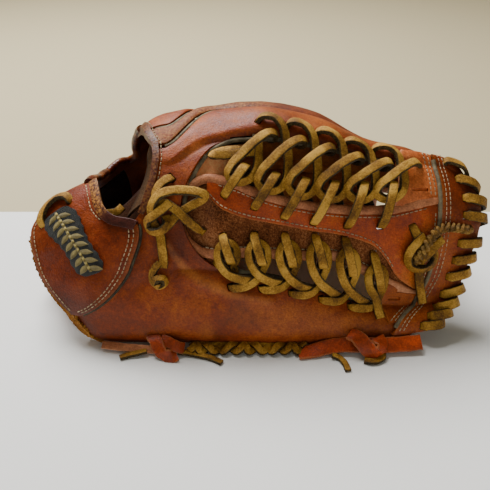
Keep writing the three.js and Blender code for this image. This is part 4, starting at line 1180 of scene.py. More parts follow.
arc_seam = np.linspace(2 - EDGE, 1 + EDGE, 25)[:17]
arc_side = 2 * arc_seam - 3
arc_x = HOLE["mouth"] - (HOLE["depth"] - WELT_RADIUS - 0.5) * np.sqrt(1 - arc_side**2)
arc = traced(arc_x, gathered(arc_x, 1.5 + 0.483 * arc_side), HOLE_WELT_OUT)
upper_side = backwards(hole_side(2.003, WELT_END["finger"]))
upper_piping = tube("web_hole_piping", joined(upper_side, arc), WELT_RADIUS)
shown(upper_piping, WELT, "welt", "web_hole_welt")
lower_piping = tube("thumb_hole_piping", hole_side(1.005, WELT_END["thumb"]), WELT_RADIUS)
shown(lower_piping, WELT, "welt", "thumb_hole_welt")

# %% [markdown]
# ## The far rim and the inside of the opening
# On the little finger's side the edge of the opening is rolled over and worn to a dark gloss. A
# folded sheet would need its inside too, which never shows, so the roll is a thick wrinkled
# tube. It follows the strap, then the far panel's corner and then the backs.
# %% Rim
RIM = {"radius": 2.9, "x": -105.5, "stops": [7, 3, 7], "lifts": [0.2, 2.4, -0.6]}
along_strap_part = np.linspace(2.15, 3.85, RIM["stops"][0])
along_panel_part = np.linspace(1.95, 1.66, RIM["stops"][1])
along_back_part = np.linspace(5.38, 4.6, RIM["stops"][2])
back_x = back_start(gathered(OPENING_X, along_back_part))
strap_x = np.full(RIM["stops"][0], RIM["x"])
rim_x = np.concatenate([strap_x, column(BASE, "end", along_panel_part, "seam"), back_x])
rim_seam = np.concatenate([along_strap_part, 6 - along_panel_part, back_seam(back_x, along_back_part)])
rim_top = back_height(rim_x, rim_seam) + np.repeat(RIM["lifts"], RIM["stops"])
rim = tube("opening_rim", traced(rim_x, rim_seam, rim_top), RIM["radius"], 16, 8, 0.9, 0.03)
mark(rim, "wear_and_highlight", rubbed_spots(rim, 4.0, 9, 0.1, 0.9))
shown(rim, RIM_LEATHER, "pink", "pinky_opening_binding")

# %% [markdown]
# Inside the near edge hangs a strip of suede, and dark lining covers the far side of the heel
# beyond the strap. Below the near panel the palm's raw edge shows, cut by hand and frayed since.
# It could be left to the bump of its finish, but its outline shows against the floor, so its
# points are ragged.
# %% Facing, lining and raw edge
HEEL_END = -96
RAW_EDGE_LONG = 260


def inside_spot(u, v):
    seam = mix(1.55, 2.3, v)
    x = back_start(seam) + 1.5 - u * mix(17, 3, v)
    return place(x, seam, -3.2 - u * mix(24, 9, v) + 0.6 * waves(x, seam, 4.0, 12))


def far_lining_spot(u, v):
    seam = mix(4.3, 5.4, v)
    x = mix(-96, np.maximum(heel_edge(seam), -128) + 2, u)
    return place(x, seam, -1.6 - 2.2 * u)


inside_strip, u, v = laid("opening_facing", 24, 40, inside_spot)
# Painted shade: darker deeper inside the opening.
mark(inside_strip, "dirt_and_shade", 0.8 * smooth(0.5, 1.0, u))
thicken(inside_strip, 1.6, 0.4)
shown(inside_strip, STRIP_SUEDE, "suede")
far_lining, u, v = laid("far_heel_lining", 24, 40, far_lining_spot)
thicken(far_lining, 1.2, 0.3)
shown(far_lining, LINING, "suede")


def heel_line(seam):
    low = BASE["seam"][0]
    below = mix(HEEL_END, BASE["heel"][0], seam / low)
    return np.where(seam > low, column(BASE, "heel", seam, "seam"), below)


def heel_edge_spot(u, v):
    seam = mix(1.55, 0.0, v)
    run = v * RAW_EDGE_LONG
    wide = mix(2.2, 6.2, smooth(0.35, 0.8, v)) * smooth(1.02, 0.93, v)
    ragged = 0.55 * waves(run, 0 * v, 1.6, 11) + 0.5 * waves(run, 0 * v, 5.0, 13)
    x = heel_line(seam) + 1.0 - u * (wide + 1) - ragged * smooth(0.2, 1.0, u)
    return place(x, seam, back_height(x, seam) + 2.0 - 1.6 * u + 0.5 * waves(run, u, 2.2, 15))


raw_edge, u, v = laid("palm_raw_edge", 10, 220, heel_edge_spot)
thicken(raw_edge, 2.2, 0.5)
for corner in raw_edge.data.vertices:
    corner.co.z = max(corner.co.z, 0)
shown(raw_edge, RAW_EDGE, "palm")

# %% [markdown]
# A thin dark piping closes the panel's seam. A line in the finish would lie flat, and the real
# piping catches the light, so it is a tube like the other welts, half sunk into the seam.
# %% Piping of the panel
seam = np.linspace(0.47, 1.375, 24)
x = column(BASE, "end", seam, "seam") + 0.9
panel_piping = tube("panel_piping", traced(x, seam, over_back(x, seam) + 0.9), 1.0)
shown(panel_piping, DARK_WELT, "welt")

# %% [markdown]
# ## The web
# A suede strap fills the hole, from its root between the hides to the crown at the top. Its
# edges are rolled in pink leather, and a smooth orange leather covers its upper half. All three
# follow one table of the strap's edges, so that they stay together where it narrows.
# %% Web measures
WEB_STRAP = table(
    "x low high",
    (-46, 1.36, 1.58),
    (-40, 1.2, 1.655),
    (-28, 1.12, 1.705),
    (-14, 1.14, 1.65),
    (8, 1.165, 1.56),
    (32, 1.215, 1.555),
    (50, 1.262, 1.58),
    (67, 1.225, 1.62),
    (85, 1.15, 1.65),
    (100, 1.08, 1.695),
    (113, 1.04, 1.74),
)
OVERLAY = table(
    "x low",
    (-31, 1.645),
    (-25.5, 1.536),
    (-18, 1.455),
    (0, 1.395),
    (30, 1.393),
    (55, 1.42),
    (72, 1.4),
    (81, 1.317),
    (88, 1.215),
    (96, 1.15),
    (104, 1.1),
    (113, 1.06),
)
CROWN_BAND = table(
    "seam inner rim",
    (0.3, 86, 112),
    (0.65, 93, 121),
    (1.0, 102, 129),
    (1.2, 111, 133.5),
    (1.5, 114.5, 139.5),
    (1.8, 114.5, 140),
    (2.0, 112.5, 133),
    (2.2, 110.5, 121),
)
ROLL = {"width": 6.2, "thick": 4.2}
SEAM_MM = 82
STRAP_TOP = 108
SUEDE_THICK = 2.0
OVERLAY_THICK = 1.7
OVERLAY_OUT = GAP + OVERLAY_THICK
print("tables of the web:", len(WEB_STRAP["x"]), "rows for the strap,", len(OVERLAY["x"]), "for its overlay")

# %% [markdown]
# The leather edges keep a little inside the rolls, and the strap's root dips between the hides.
# Each piece could measure its edges anew. As small functions, one edge serves the leather and
# its stitches alike.
# %% Edges of the web
def inner_edge(seam):
    return column(CROWN_BAND, "inner", seam, "seam") - 2.6


def roll_edge(x):
    return mix(ROLL["width"] / 2 - 0.7, 3.2, smooth(-20, -36, x)) / SEAM_MM


def strap_low(x):
    return column(WEB_STRAP, "low", x) + roll_edge(x)


def strap_high(x):
    return column(WEB_STRAP, "high", x) - roll_edge(x)


def root_dip(x):
    return 3.6 * smooth(-22, -34, x)


def overlay_low(x):
    return np.maximum(column(OVERLAY, "low", x), strap_low(x))


def strap_span(low, start):
    def span(u, v):
        end = inner_edge(mix(low(STRAP_TOP), strap_high(STRAP_TOP), v))
        x = mix(start, end, u)
        return x, mix(low(x), strap_high(x), v)

    return span


print("the strap is", round(float(strap_high(30) - strap_low(30)) * SEAM_MM), "mm wide at its waist")

# %% [markdown]
# The strap and the overlay are grids. They are thickened first and punched for the laces
# afterwards, because a hole in thick leather shows its wall. The rolled edges could be the
# strap's own edge bent over, but a flattened tube gives the same round edge.
# %% Web strap, overlay and rolls
def strap_surface(u, v):
    x, seam = strap_span(strap_low, -41.5)(u, v)
    return place(x, seam, -root_dip(x) + 0.25 * waves(x, seam, 7, 1))


def overlay_out(x, seam):
    return OVERLAY_OUT + 0.3 * waves(x, seam, 9, 4)


def overlay_surface(u, v):
    x, seam = strap_span(overlay_low, -28.5)(u, v)
    return place(x, seam, overlay_out(x, seam))


web_strap, u, v = laid("web_strap_suede", 110, 30, strap_surface)
# Painted shade: darker along the lower edge under the roll and at the root between the hides.
mark(web_strap, "dirt_and_shade", 0.5 * smooth(0.12, 0, v) + 0.4 * smooth(0.15, 0, u))
thicken(web_strap, SUEDE_THICK, 0.4)
overlay, u, v = laid("web_overlay_leather", 110, 30, overlay_surface)
mark(overlay, "wear_and_highlight", 0.5 * smooth(0.08, 0, v))
# Painted shade: darker at the end under the crown and along the upper edge under the roll.
mark(overlay, "dirt_and_shade", 0.5 * smooth(0.94, 1, u) + 0.3 * smooth(0.9, 1.0, v))
thicken(overlay, OVERLAY_THICK, 0.45)

for side, word, raised in (("low", "lower", 0.0), ("high", "upper", 0.7)):
    end = float(inner_edge(column(WEB_STRAP, side, STRAP_TOP))) - 0.5
    x = np.linspace(-45, end, 60)
    route = traced(x, column(WEB_STRAP, side, x), raised - 0.35 * root_dip(x))
    roll = tube("roll_" + word, route, ROLL["width"] / 2, 14, 2, ROLL["thick"] / ROLL["width"], 0.05)
    shown(roll, PINK, "pink", "web_roll_" + word)

# %% [markdown]
# The crown is a band of doubled leather over the web's top. It could be two sheets sewn
# together, but only its outside shows, so it is one thick sheet. Its rim is drawn in by each
# turn of the whipping, and its upper end sinks under the index finger.
# %% Crown
CROWN_THICK = 3.4
BAND = GAP + CROWN_THICK
WHIP_TURNS = 11
CROWN_ENDS = (CROWN_BAND["seam"][0], CROWN_BAND["seam"][-1])


def crown_spot(u, v):
    seam = mix(*CROWN_ENDS, v)
    inner = column(CROWN_BAND, "inner", seam, "seam") - 1.0
    x = mix(inner, column(CROWN_BAND, "rim", seam, "seam"), u)
    belly = 0.7 * np.sin(math.pi * u) - 0.5 * np.cos(2 * math.pi * v * WHIP_TURNS) * smooth(0.5, 1, u)
    sunk = 2.2 * smooth(2.13, 2.2, seam)
    return place(x, seam, under(x, seam) + BAND + belly - sunk + 0.2 * waves(x, seam, 6, 8))


crown, u, v = laid("crown_leather", 36, 160, crown_spot)
mark(crown, "wear_and_highlight", 0.4 * smooth(0.86, 1, u) + 0.3 * smooth(0.1, 0, u))
# Painted shade: darker towards the rim, under the whipping.
mark(crown, "dirt_and_shade", 0.5 * smooth(0.6, 0.9, u))
thicken(crown, CROWN_THICK, 0.9)
print("the crown is", round(float(np.diff(CROWN_ENDS)[0]) * SEAM_MM), "mm long")

# %% [markdown]
# Two tabs tie the crown to the tips of the index finger and the thumb. They are cut with one
# slanted end, which a table of their ends gives, so both are one recipe.
# %% Tabs
INDEX_TAB = table(
    "seam start end",
    (1.66, 84, 87),
    (1.69, 84.5, 97),
    (1.72, 85.5, 107),
    (1.75, 86, 200),
    (1.82, 87, 200),
    (2.05, 86.5, 200),
    (2.15, 90, 200),
)
THUMB_TAB = table(
    "seam start end",
    (0.55, 83, 200),
    (0.75, 81, 200),
    (0.98, 79, 200),
    (1.06, 79, 200),
    (1.09, 79, 98),
    (1.125, 80, 90),
    (1.155, 81, 84),
)
TAB_THICK = 2


def tab_spot(rows):
    def spot(u, v):
        seam = mix(rows["seam"][0], rows["seam"][-1], v)
        end = np.minimum(column(rows, "end", seam, "seam"), inner_edge(seam))
        x = mix(column(rows, "start", seam, "seam"), end, u)
        return place(x, seam, under(x, seam) + GAP + TAB_THICK)

    return spot


def make_tab(name, rows):
    piece, u, _ = laid(name, 24, 32, tab_spot(rows))
    mark(piece, "wear_and_highlight", 0.5 * smooth(0.15, 0, u))
    thicken(piece, TAB_THICK, 0.6)
    return piece


index_tab = make_tab("index_tab_leather", INDEX_TAB)
thumb_tab = make_tab("thumb_tab_leather", THUMB_TAB)
print("tabs:", index_tab.name, thumb_tab.name)

# %% [markdown]
# The crown's lower seam is closed with a piping like the other welts, a little thicker. It could
# be part of the crown's own mesh, but it has another colour and lies under the band's edge.
# %% Piping of the crown
seam = mix(*CROWN_ENDS, np.linspace(1 / 14, 13 / 14, 60))
x = column(CROWN_BAND, "inner", seam, "seam") - 1.8
crown_piping = tube("crown_piping", traced(x, seam, under(113, seam) + 2.4), 1.5)
shown(crown_piping, WELT, "welt", "crown_welt")

# %% [markdown]
# ## Laces of the net
# Each row of the net has one long lace, which comes up through the stall's leather, runs round a
# loop, crosses over itself and goes down again, and one short lace that hooks every loop to the
# strap. One loop could be copied six times, but the web narrows along it. So a table gives one
# loop, along in millimetres and toward from the hole to the loop's end, and each copy fits its
# own place.
# %% Stops on the worn leather
def lift(x, seam):
    fraction = seam % 1
    edges = np.minimum(1, np.minimum(fraction, 1 - fraction) * 8)
    web = (seam > 1) & (seam < 2)
    solid = np.where(web, smooth(0, 6, hole_edge(seam) - x), 1.0)
    return swell(x, seam) * edges * solid * smooth(104, 96, x)


def stops(rows):
    x, seam, out = np.array(rows, float).T
    return {"at": place(x, seam, out + lift(x, seam)), "up": rise(x, seam)}


def facing(route, index, up):
    route["up"][index] = up
    return route


print("the leather is lifted by", lift(-32, 0.865).round(2), "mm at the hole's edge")

# %% [markdown]
# The loops of the two rows differ: the upper ones are long and the lower ones tighter. One table
# could serve both, but the rows would look alike. A hook's table goes from its hole in the strap
# to the far side of a loop.
# %% Net tables
LOOPS = 6
PITCH = {"index": 17.6, "thumb": 18.3}
INDEX_LOOP = table(
    "along toward out",
    (0, 0, -4),
    (0.3, 0, 1),
    (3.2, -0.015, 3.4),
    (9.5, 0.03, 3.8),
    (14.1, 0.2, 3.6),
    (16.3, 0.45, 3.3),
    (17.4, 0.7, 3.2),
    (16, 0.88, 3.4),
    (11, 1.0, 3.8),
    (4, 1.02, 4.3),
    (-0.2, 0.94, 5.2),
    (1.5, 0.84, 6.6),
    (7.1, 0.72, 7.6),
    (15.4, 0.56, 7.8),
    (23.5, 0.44, 6.6),
    (27.3, 0.4, 3.4),
    (27.6, 0.38, -1.5),
    (24, 0.28, -6.5),
)
THUMB_LOOP = table(
    "along toward out",
    (0, 0, -4),
    (0.3, 0, 1),
    (4, 0.03, 3.4),
    (10.5, 0.14, 3.8),
    (15.5, 0.36, 3.6),
    (19.2, 0.58, 3.4),
    (21.4, 0.78, 3.5),
    (19.8, 0.96, 3.9),
    (15, 1.0, 4.4),
    (11.2, 0.88, 5.4),
    (11.6, 0.68, 6.8),
    (16.2, 0.48, 7.8),
    (23, 0.38, 7.6),
    (28.0, 0.32, 4.6),
    (29.2, 0.3, -1),
    (26, 0.2, -7),
)
HOOK = table(
    "reach out",
    (0, -4),
    (0, 2.5),
    (0.1, 6),
    (0.3, 9.2),
    (0.72, 9.8),
    (0.97, 6.4),
    (1, -3.5),
)
print("one loop has", len(INDEX_LOOP["along"]), "stops above and", len(THUMB_LOOP["along"]), "below")

# %% [markdown]
# The holes of each row lie at an even pitch, and the loops' ends keep to the strap's edges. Each
# hole could be placed by eye, but a short formula keeps the row even when its pitch is changed.
# %% Holes and ends of the loops
def index_hole(k):
    return -15.5 + PITCH["index"] * k, np.clip(2.28 - 0.045 * (k - 1), 2.14, 2.26)


def index_end(k):
    return column(WEB_STRAP, "high", -3.5 + PITCH["index"] * k) + 0.074


def thumb_hole(k):
    return -32.6 + PITCH["thumb"] * k, 0.8 + 0.03 * k - 0.004 * k**2


def thumb_end(k):
    return column(WEB_STRAP, "low", -14.6 + PITCH["thumb"] * k) + 0.078


def net_rows(loop, hole, end, first):
    rows = []
    for k in range(LOOPS):
        for i in range(0 if k else first, len(loop["along"])):
            x = hole(k)[0] + loop["along"][i]
            seam = mix(hole(k)[1], end(k), loop["toward"][i])
            rows.append((x, seam, under(x, seam) + loop["out"][i]))
    return rows


print("the upper row's first hole is at", index_hole(0), "and the lower row's at", thumb_hole(0))

# %% [markdown]
# A ribbon is swept along each route, and a wider one over the first stops of each loop becomes
# the punch that opens its hole. The holes could be left out, with the lace just sunk into the
# leather, but the dark gap round each lace is what makes it look threaded.
# %% Laces and their punches
PUNCH = {"width": 1.0, "thick": 1.2}
PINCH_AT = 0.6
punches = {}


def punch_for(route, spans, targets, width, thick, lean, holes=()):
    rings = ribbon_rings(route, width + PUNCH["width"], thick + PUNCH["thick"], lean, holes=holes)
    for first, last in spans:
        for target in targets:
            punches.setdefault(target, []).append(rings[round(first * STEPS) : round(last * STEPS) + 1])


def lace(
    name, node_name, route, spans=(), targets=(), finish=LACE, slot="lace", width=LACE_SIZE["width"],
    thick=LACE_SIZE["thick"], lean=LEAN,
):
    holes = [mix(first, last, PINCH_AT) for first, last in spans]
    piece = ribbon(name, route, width, thick, lean, holes)
    punch_for(route, spans, targets, width, thick, lean, holes)
    shown(piece, finish, slot, *([node_name] if node_name else []))
    return piece


print("a punch is", PUNCH["width"], "mm wider than its lace")

# %% [markdown]
# The upper lace starts with a fold that lies over the hole's edge, and the lower one ends in a
# short run to the thumb's tip. Every loop could be a piece of its own, but one real lace makes
# the whole row, and as one route it has no joint between two loops.
# %% Laces of the stalls
FOLD = [
    (-7, 1.9, -3.5), (-8.5, 1.905, 0.6), (-14, 1.91, 1.6), (-22, 1.905, 1.6), (-25.5, 1.885, 2.8),
    (-22, 1.87, 4.4), (-14, 1.865, 4.2), (-5, 1.875, 3.4), (1.5, 1.885, 3.1),
]
X_AXIS = (1, 0, 0)
X_BACK = (-1, 0, 0)
Z_UP = (0, 0, 1)
JOINS = 5
LOWER_START = [(-24, 1.075, -4.5), (-23, 1.06, -0.5), (-19.5, 1.035, 2.4), (-11.5, 1.015, 2.8)]
LOWER_END = [(74.4, 1.055, 7.4), (76.2, 0.86, 7), (77.5, 0.66, 7.6)]


def hole_spans(loop, before):
    per_loop = len(loop["along"])
    starts = [before + per_loop - JOINS + per_loop * k for k in range(LOOPS - 1)]
    return [(start, start + 1.4) for start in starts]


index_rows = FOLD + net_rows(INDEX_LOOP, index_hole, index_end, JOINS)[:-1]
route = facing(stops(index_rows), 0, X_AXIS)
spans = hole_spans(INDEX_LOOP, len(FOLD))
lace("net_lace_index", "index_net_lace", route, spans, ["thumb_index_back", "index_tab"])
thumb_rows = LOWER_START + net_rows(THUMB_LOOP, thumb_hole, thumb_end, JOINS)[:-5] + LOWER_END
route = facing(stops(thumb_rows), 0, X_BACK)
spans = hole_spans(THUMB_LOOP, len(LOWER_START))
lace("net_lace_thumb", "thumb_net_lace", route, spans, ["thumb_index_back"])

# %% [markdown]
# A hook comes up through the strap, reaches over the loop's end and dives beside it. Between
# two hooks the lace runs under the strap, where nobody sees it.
# %% Laces of the strap
def hook_route(hole, tip):
    routes = []
    for k in range(LOOPS):
        a, b, after = np.array(hole(k)), np.array(tip(k)), np.array(hole(k + 1))
        spots = [(*mix(a, b, reach), out) for reach, out in zip(HOOK["reach"], HOOK["out"])]
        away = unit(place(*a, 0) - place(*b, 0))
        routes.append(facing(stops(spots), 0, away))
        if k < LOOPS - 1:
            routes.append(stops([(*mix(b, after, t), -6) for t in (0.35, 0.85)]))
    return joined(*routes)


def upper_hook_hole(k):
    x = index_hole(k)[0] - 2.5 + max(0, 3 * (k - 3))
    return x, column(WEB_STRAP, "high", x) - 0.1


def upper_hook_tip(k):
    return index_hole(k)[0] + 10.1, index_end(k) + 0.095


def lower_hook_hole(k):
    x = thumb_hole(k)[0] + 13.6
    return x, column(WEB_STRAP, "low", x) + 0.135


def lower_hook_tip(k):
    x = thumb_hole(k)[0] + 18.8
    return x, column(WEB_STRAP, "low", x) - 0.058 - 0.0016 * k


per_hook = len(HOOK["reach"]) + 2
hook_spans = [(per_hook * k, per_hook * k + 1) for k in range(LOOPS)]
STRAP_HIDES = ["web_strap", "web_overlay"]
HOOKS = {"upper": (upper_hook_hole, upper_hook_tip), "lower": (lower_hook_hole, lower_hook_tip)}
for word, ends in HOOKS.items():
    lace("hook_lace_" + word, "strap_net_lace_" + word, hook_route(*ends), hook_spans, STRAP_HIDES)

# %% [markdown]
# The crown's rim is whipped with one lace: up through a hole, over the rim and along to the next.
# A spiral would give even turns, but on the glove they are spaced by hand, so a list gives them.
# %% Whipped rim
WHIPS = [2.07, 1.93, 1.79, 1.65, 1.43, 1.3, 1.175, 1.04, 0.82, 0.62, 0.42]
WHIP = table(
    "back toward out",
    (11.4, 0, -3.8),
    (10.8, 0, BAND + 1.2),
    (8.4, 0, BAND + 2.5),
    (-0.6, 0.03, BAND + 2.8),
    (-3.8, 0.12, 0.8),
    (2, 0.4, -4.4),
)
rows = []
for seam, after in zip(WHIPS, WHIPS[1:] + WHIPS[-1:]):
    for back, toward, out in zip(*WHIP.values()):
        across = mix(seam, after, toward)
        rim = column(CROWN_BAND, "rim", across, "seam")
        rows.append((rim - back, across, float(under(rim, seam)) + out))
route = on(rows[:-1])
per_whip = len(WHIP["back"])
for k in range(len(WHIPS)):
    facing(route, per_whip * k, X_BACK)
whip_spans = [(per_whip * k, per_whip * k + 1) for k in range(len(WHIPS))]
lace(
    "whipped_rim_lace", "crown_whip_lace", route, whip_spans, ["web_crown", "thumb_index_back"], width=6.2,
    thick=2.3, lean=0,
)

# %% [markdown]
# ## Knots of the web
# A knot at the web's root hangs down over the thumb. Its turns are too tangled for a formula, so
# the stops of each lace are read from the photograph: along, seam and out, as everywhere.
# %% Knot at the root
ROOT = [
    (-49, 1.735, -3.5), (-49.5, 1.72, 1.5), (-52.5, 1.7, 4.4), (-56.5, 1.65, 5.2), (-58.5, 1.58, 5.2),
    (-56.5, 1.525, 5.2), (-52, 1.515, 5.6), (-46, 1.46, 6.4), (-39, 1.375, 6), (-33.5, 1.315, 3),
    (-31.5, 1.29, -4.5),
]
BOW = [
    (-52, 1.34, 4.6), (-46, 1.42, 4.2), (-38, 1.49, 4.4), (-32, 1.53, 5.2), (-29.5, 1.565, 6.8),
    (-33, 1.585, 8.8), (-40, 1.6, 9.8), (-49, 1.6, 10.4), (-56, 1.575, 9.8), (-60, 1.51, 8.2),
    (-60.5, 1.44, 6.4), (-59, 1.37, 5), (-56, 1.29, 5), (-54.8, 1.18, 4.8), (-54.2, 1.08, 4.8),
    (-54.5, 1.02, 5),
]
ROOT_WRAP = [
    (-49.5, 1.52, 7.6), (-54, 1.475, 8.4), (-59, 1.43, 8.2), (-63, 1.395, 6.4), (-63, 1.34, 5.2),
    (-59.5, 1.31, 6.6), (-54.5, 1.32, 7.2), (-51.5, 1.365, 6.4), (-52.5, 1.42, 4.6),
]
BUTTON = [
    (-56.5, 1.06, 5.2), (-58.5, 1.03, 6.4), (-60.3, 0.98, 6.4), (-60.8, 0.92, 6), (-60.5, 0.86, 5.4),
    (-57, 0.81, 5.4), (-53.5, 0.85, 6.4), (-54.2, 0.91, 8.2), (-58, 0.91, 9), (-59, 0.86, 8.4),
    (-56.5, 0.83, 8),
]
route = facing(stops(ROOT), 0, Z_UP)
root_lace = ribbon("root_lace", route, holes=(0.6, 9.4))
punch_for(route, [(0, 1.5)], ["thumb_index_back"], *LACE_SIZE.values(), LEAN)
punch_for(route, [(9, 10)], ["web_strap"], *LACE_SIZE.values(), LEAN)
shown(root_lace, LACE, "lace", "web_root_lace")
lace("root_knot_lace", "web_knot_lace", stops(BOW))
shown(ribbon("root_wrap", stops(ROOT_WRAP)), LACE, "lace")
shown(ribbon("root_button", stops(BUTTON), width=4.4), LACE, "lace")

# %% [markdown]
# A second knot at the crown holds the strap's end. Beside it each tab has a slit. It could be a
# dark line in the finish, but a real cut has depth, so a thin strip punches it as a lace would.
# %% Slits and knot at the crown
SLITS = {
    "index_tab": [(95, 1.785, 4.4), (100, 1.79, 4.4), (105.5, 1.797, 4.4)],
    "thumb_tab": [(84, 1.05, 4.8), (88, 1.052, 4.8), (92, 1.054, 4.8)],
}
SLIT_SIZE = {"width": 1.0, "thick": 6}
for name, rows in SLITS.items():
    punch_for(on(rows), [(0, 2)], [name], *SLIT_SIZE.values(), 0)

CROWN_TAIL = [
    (95.5, 1.55, -4.5), (96, 1.54, 1.5), (98, 1.5, 4.6), (101, 1.44, 5.4), (102, 1.37, 4.8),
    (101.5, 1.3, 5), (102, 1.22, 5.8), (103.5, 1.12, 6), (105.3, 1.02, 6),
]
CROWN_WRAP = [
    (102.5, 1.49, 5.2), (98.5, 1.46, 7.6), (95, 1.41, 7.4), (93.8, 1.345, 6), (96, 1.295, 6.4),
    (101.5, 1.28, 8.2), (107.5, 1.3, 8), (110.5, 1.345, 6.4), (109, 1.4, 5),
]
CROWN_STRAND = [
    (114.5, 1.47, 5.4), (110.5, 1.44, 7.2), (106, 1.39, 8), (102.5, 1.345, 7.2), (100.5, 1.3, 5),
]
lace("crown_knot", "crown_knot_lace", facing(on(CROWN_TAIL), 0, Z_UP), [(0, 1)], STRAP_HIDES)
shown(ribbon("crown_knot_wrap", on(CROWN_WRAP)), LACE, "lace")
shown(ribbon("crown_knot_strand", on(CROWN_STRAND)), LACE, "lace")

# %% [markdown]
# A plied cord runs from the crown's knot to the rim. A bump could only draw the twist on a plain
# tube. Here two plies are lofted round one middle line and joined, so the twist shows in the
# outline too.
# %% Plied cord
CORD = [
    (132.4, 1.532, 0.4), (132.6, 1.535, 3.4), (130.5, 1.54, 5.8), (126, 1.55, 6.7), (120, 1.556, 7),
    (114.5, 1.552, 7.4), (109, 1.52, 8), (104.5, 1.46, 9.4), (101.5, 1.405, 10), (99.5, 1.36, 8.6),
    (99.3, 1.32, 6.4),
]
CORD_SIZE = {"radius": 2.8, "turn_mm": 7.0}


def plied_cord(name, route, radius, turn_mm, strands=2, steps=14, sides=10):
    at, way, up = frames_along(route, 0.0, steps)
    side = np.cross(way, up)
    run = np.concatenate([[0], np.cumsum(np.linalg.norm(np.diff(at, axis=0), axis=1))]) / MM
    turns = np.arange(sides) / sides * 2 * math.pi
    plies = []
    for k in range(strands):
        angle = (run / turn_mm + k / strands) * 2 * math.pi
        centre = at + (side * np.cos(angle)[:, None] + up * np.sin(angle)[:, None]) * radius * 0.5 * MM
        size = radius * MM * (0.6 + 0.06 * np.sin(run * 5.0))
        rings = [centre + (side * math.cos(a) + up * math.sin(a)) * size[:, None] for a in turns]
        plies.append(lofted(name if k == 0 else "ply", np.stack(rings, 1)))
    piece = joined_to(plies[0], plies)
    mark(piece, "cut", 0.6 * rubbed_spots(piece, 1.2, 4, -0.3, 0.3))
    smoothed(piece, "tube")
    return piece


cord = plied_cord("plied_cord", on(CORD), CORD_SIZE["radius"], CORD_SIZE["turn_mm"])
shown(cord, CORD_LACE, "lace", "crown_cord")

# %% [markdown]
# Another lace ties the wrist strap to the panel, and a bit of lace shows inside the opening. Both
# could be straight strips, but they bend over the edges of the leather, so they are ribbons
# through stops, like the laces of the net.
# %% Laces at the wrist
INNER = [(-81.5, 1.62, -9), (-85, 1.59, -7.4), (-88, 1.61, -7.8), (-92, 1.64, -9)]
WRIST = [
    (-114, 1.8, 1.2), (-114.3, 1.81, 5.5), (-117, 1.86, 8.2), (-123, 1.89, 8.6), (-129, 1.85, 8.6),
    (-132.5, 1.77, 8.2), (-133.5, 1.68, 7.4), (-132.5, 1.63, 5.4), (-132.2, 1.62, 1.2),
]
lace("inner_lace", None, on(INNER), width=5)
lace("wrist_tie", "wrist_lace", facing(on(WRIST), 0, X_AXIS), [(0, 1), (7, 8)], ["thumb_base_panel"])

# %% [markdown]
# ## Along the thumb's edge
# Two thongs, a pink one and a red-brown one, run along the thumb's edge, each with a red-brown
# knot. Physics could let them fall, but they would land anew each time. They are placed one by
# one, in the frame's own millimetres, as they lie on the floor.
# %% Thongs
OUTWARD = (0, -0.6, 0.8)
LEFT_THONG = [
    (-94, -73.5, 3.6), (-80, -75.5, 3.2), (-67, -77.0, 3.0), (-58, -77.6, 3.2), (-50, -77.0, 3.6),
    (-44, -75.0, 4.2),
]
LEFT_KNOT = [
    (-63, -72.8, 10.2), (-60.5, -76.4, 9.8), (-58, -80.6, 6.4), (-55, -83.0, 4.2), (-51, -83.4, 3.0),
    (-47.5, -81.8, 2.4),
]
LEFT_KNOT_UPS = [Z_UP, (0, -0.4, 0.9), (0, -0.8, 0.6), (0.2, -0.9, 0.4), (0, -0.3, 0.95), Z_UP]
LEFT_LOBE = [(-57.5, -74.5, 9.2), (-52, -77.2, 8.4), (-46.5, -78.6, 6), (-43.5, -77.4, 4)]
RIGHT_THONG = [
    (26.5, -79.0, 1.2), (35, -78.0, 2.2), (45, -76.4, 4.3), (56, -75.6, 5.4), (68, -75.8, 5.2),
    (80, -75.9, 5.4), (92, -75.3, 5.8), (102, -74.3, 6.4),
]
RIGHT_THONG_UPS = [Z_UP, (0, -0.3, 0.95)] + [OUTWARD] * 6
RIGHT_KNOT = [
    (57.5, -73.4, 12.2), (61.5, -75.8, 12.2), (66.5, -80, 8.4), (71, -82.6, 5.2), (75.5, -82.6, 5.2),
    (77, -79.4, 8.8), (74.5, -74.8, 10.4),
]
RIGHT_KNOT_UPS = [
    Z_UP, (0, -0.4, 0.9), (0, -0.75, 0.65), (0.2, -0.8, 0.5), (0.3, -0.75, 0.6), (0, -0.6, 0.8),
    (0, -0.3, 0.95),
]
THONG_STRIP = {"thick": 1.8, "finish": THONG, "slot": "strap"}
lace("left_thong", "thumb_edge_thong_left", level(LEFT_THONG, [OUTWARD] * 6), width=5, thick=1.8, finish=PINK)
lace("left_thong_knot", "thumb_edge_knot_left", level(LEFT_KNOT, LEFT_KNOT_UPS), width=8, **THONG_STRIP)
lace("left_thong_lobe", None, level(LEFT_LOBE, [OUTWARD] * 4), width=7, **THONG_STRIP)
lace("right_thong", "thumb_edge_thong_right", level(RIGHT_THONG, RIGHT_THONG_UPS), width=9.5, **THONG_STRIP)
lace("right_thong_knot", "thumb_edge_knot_right", level(RIGHT_KNOT, RIGHT_KNOT_UPS), width=10, **THONG_STRIP)

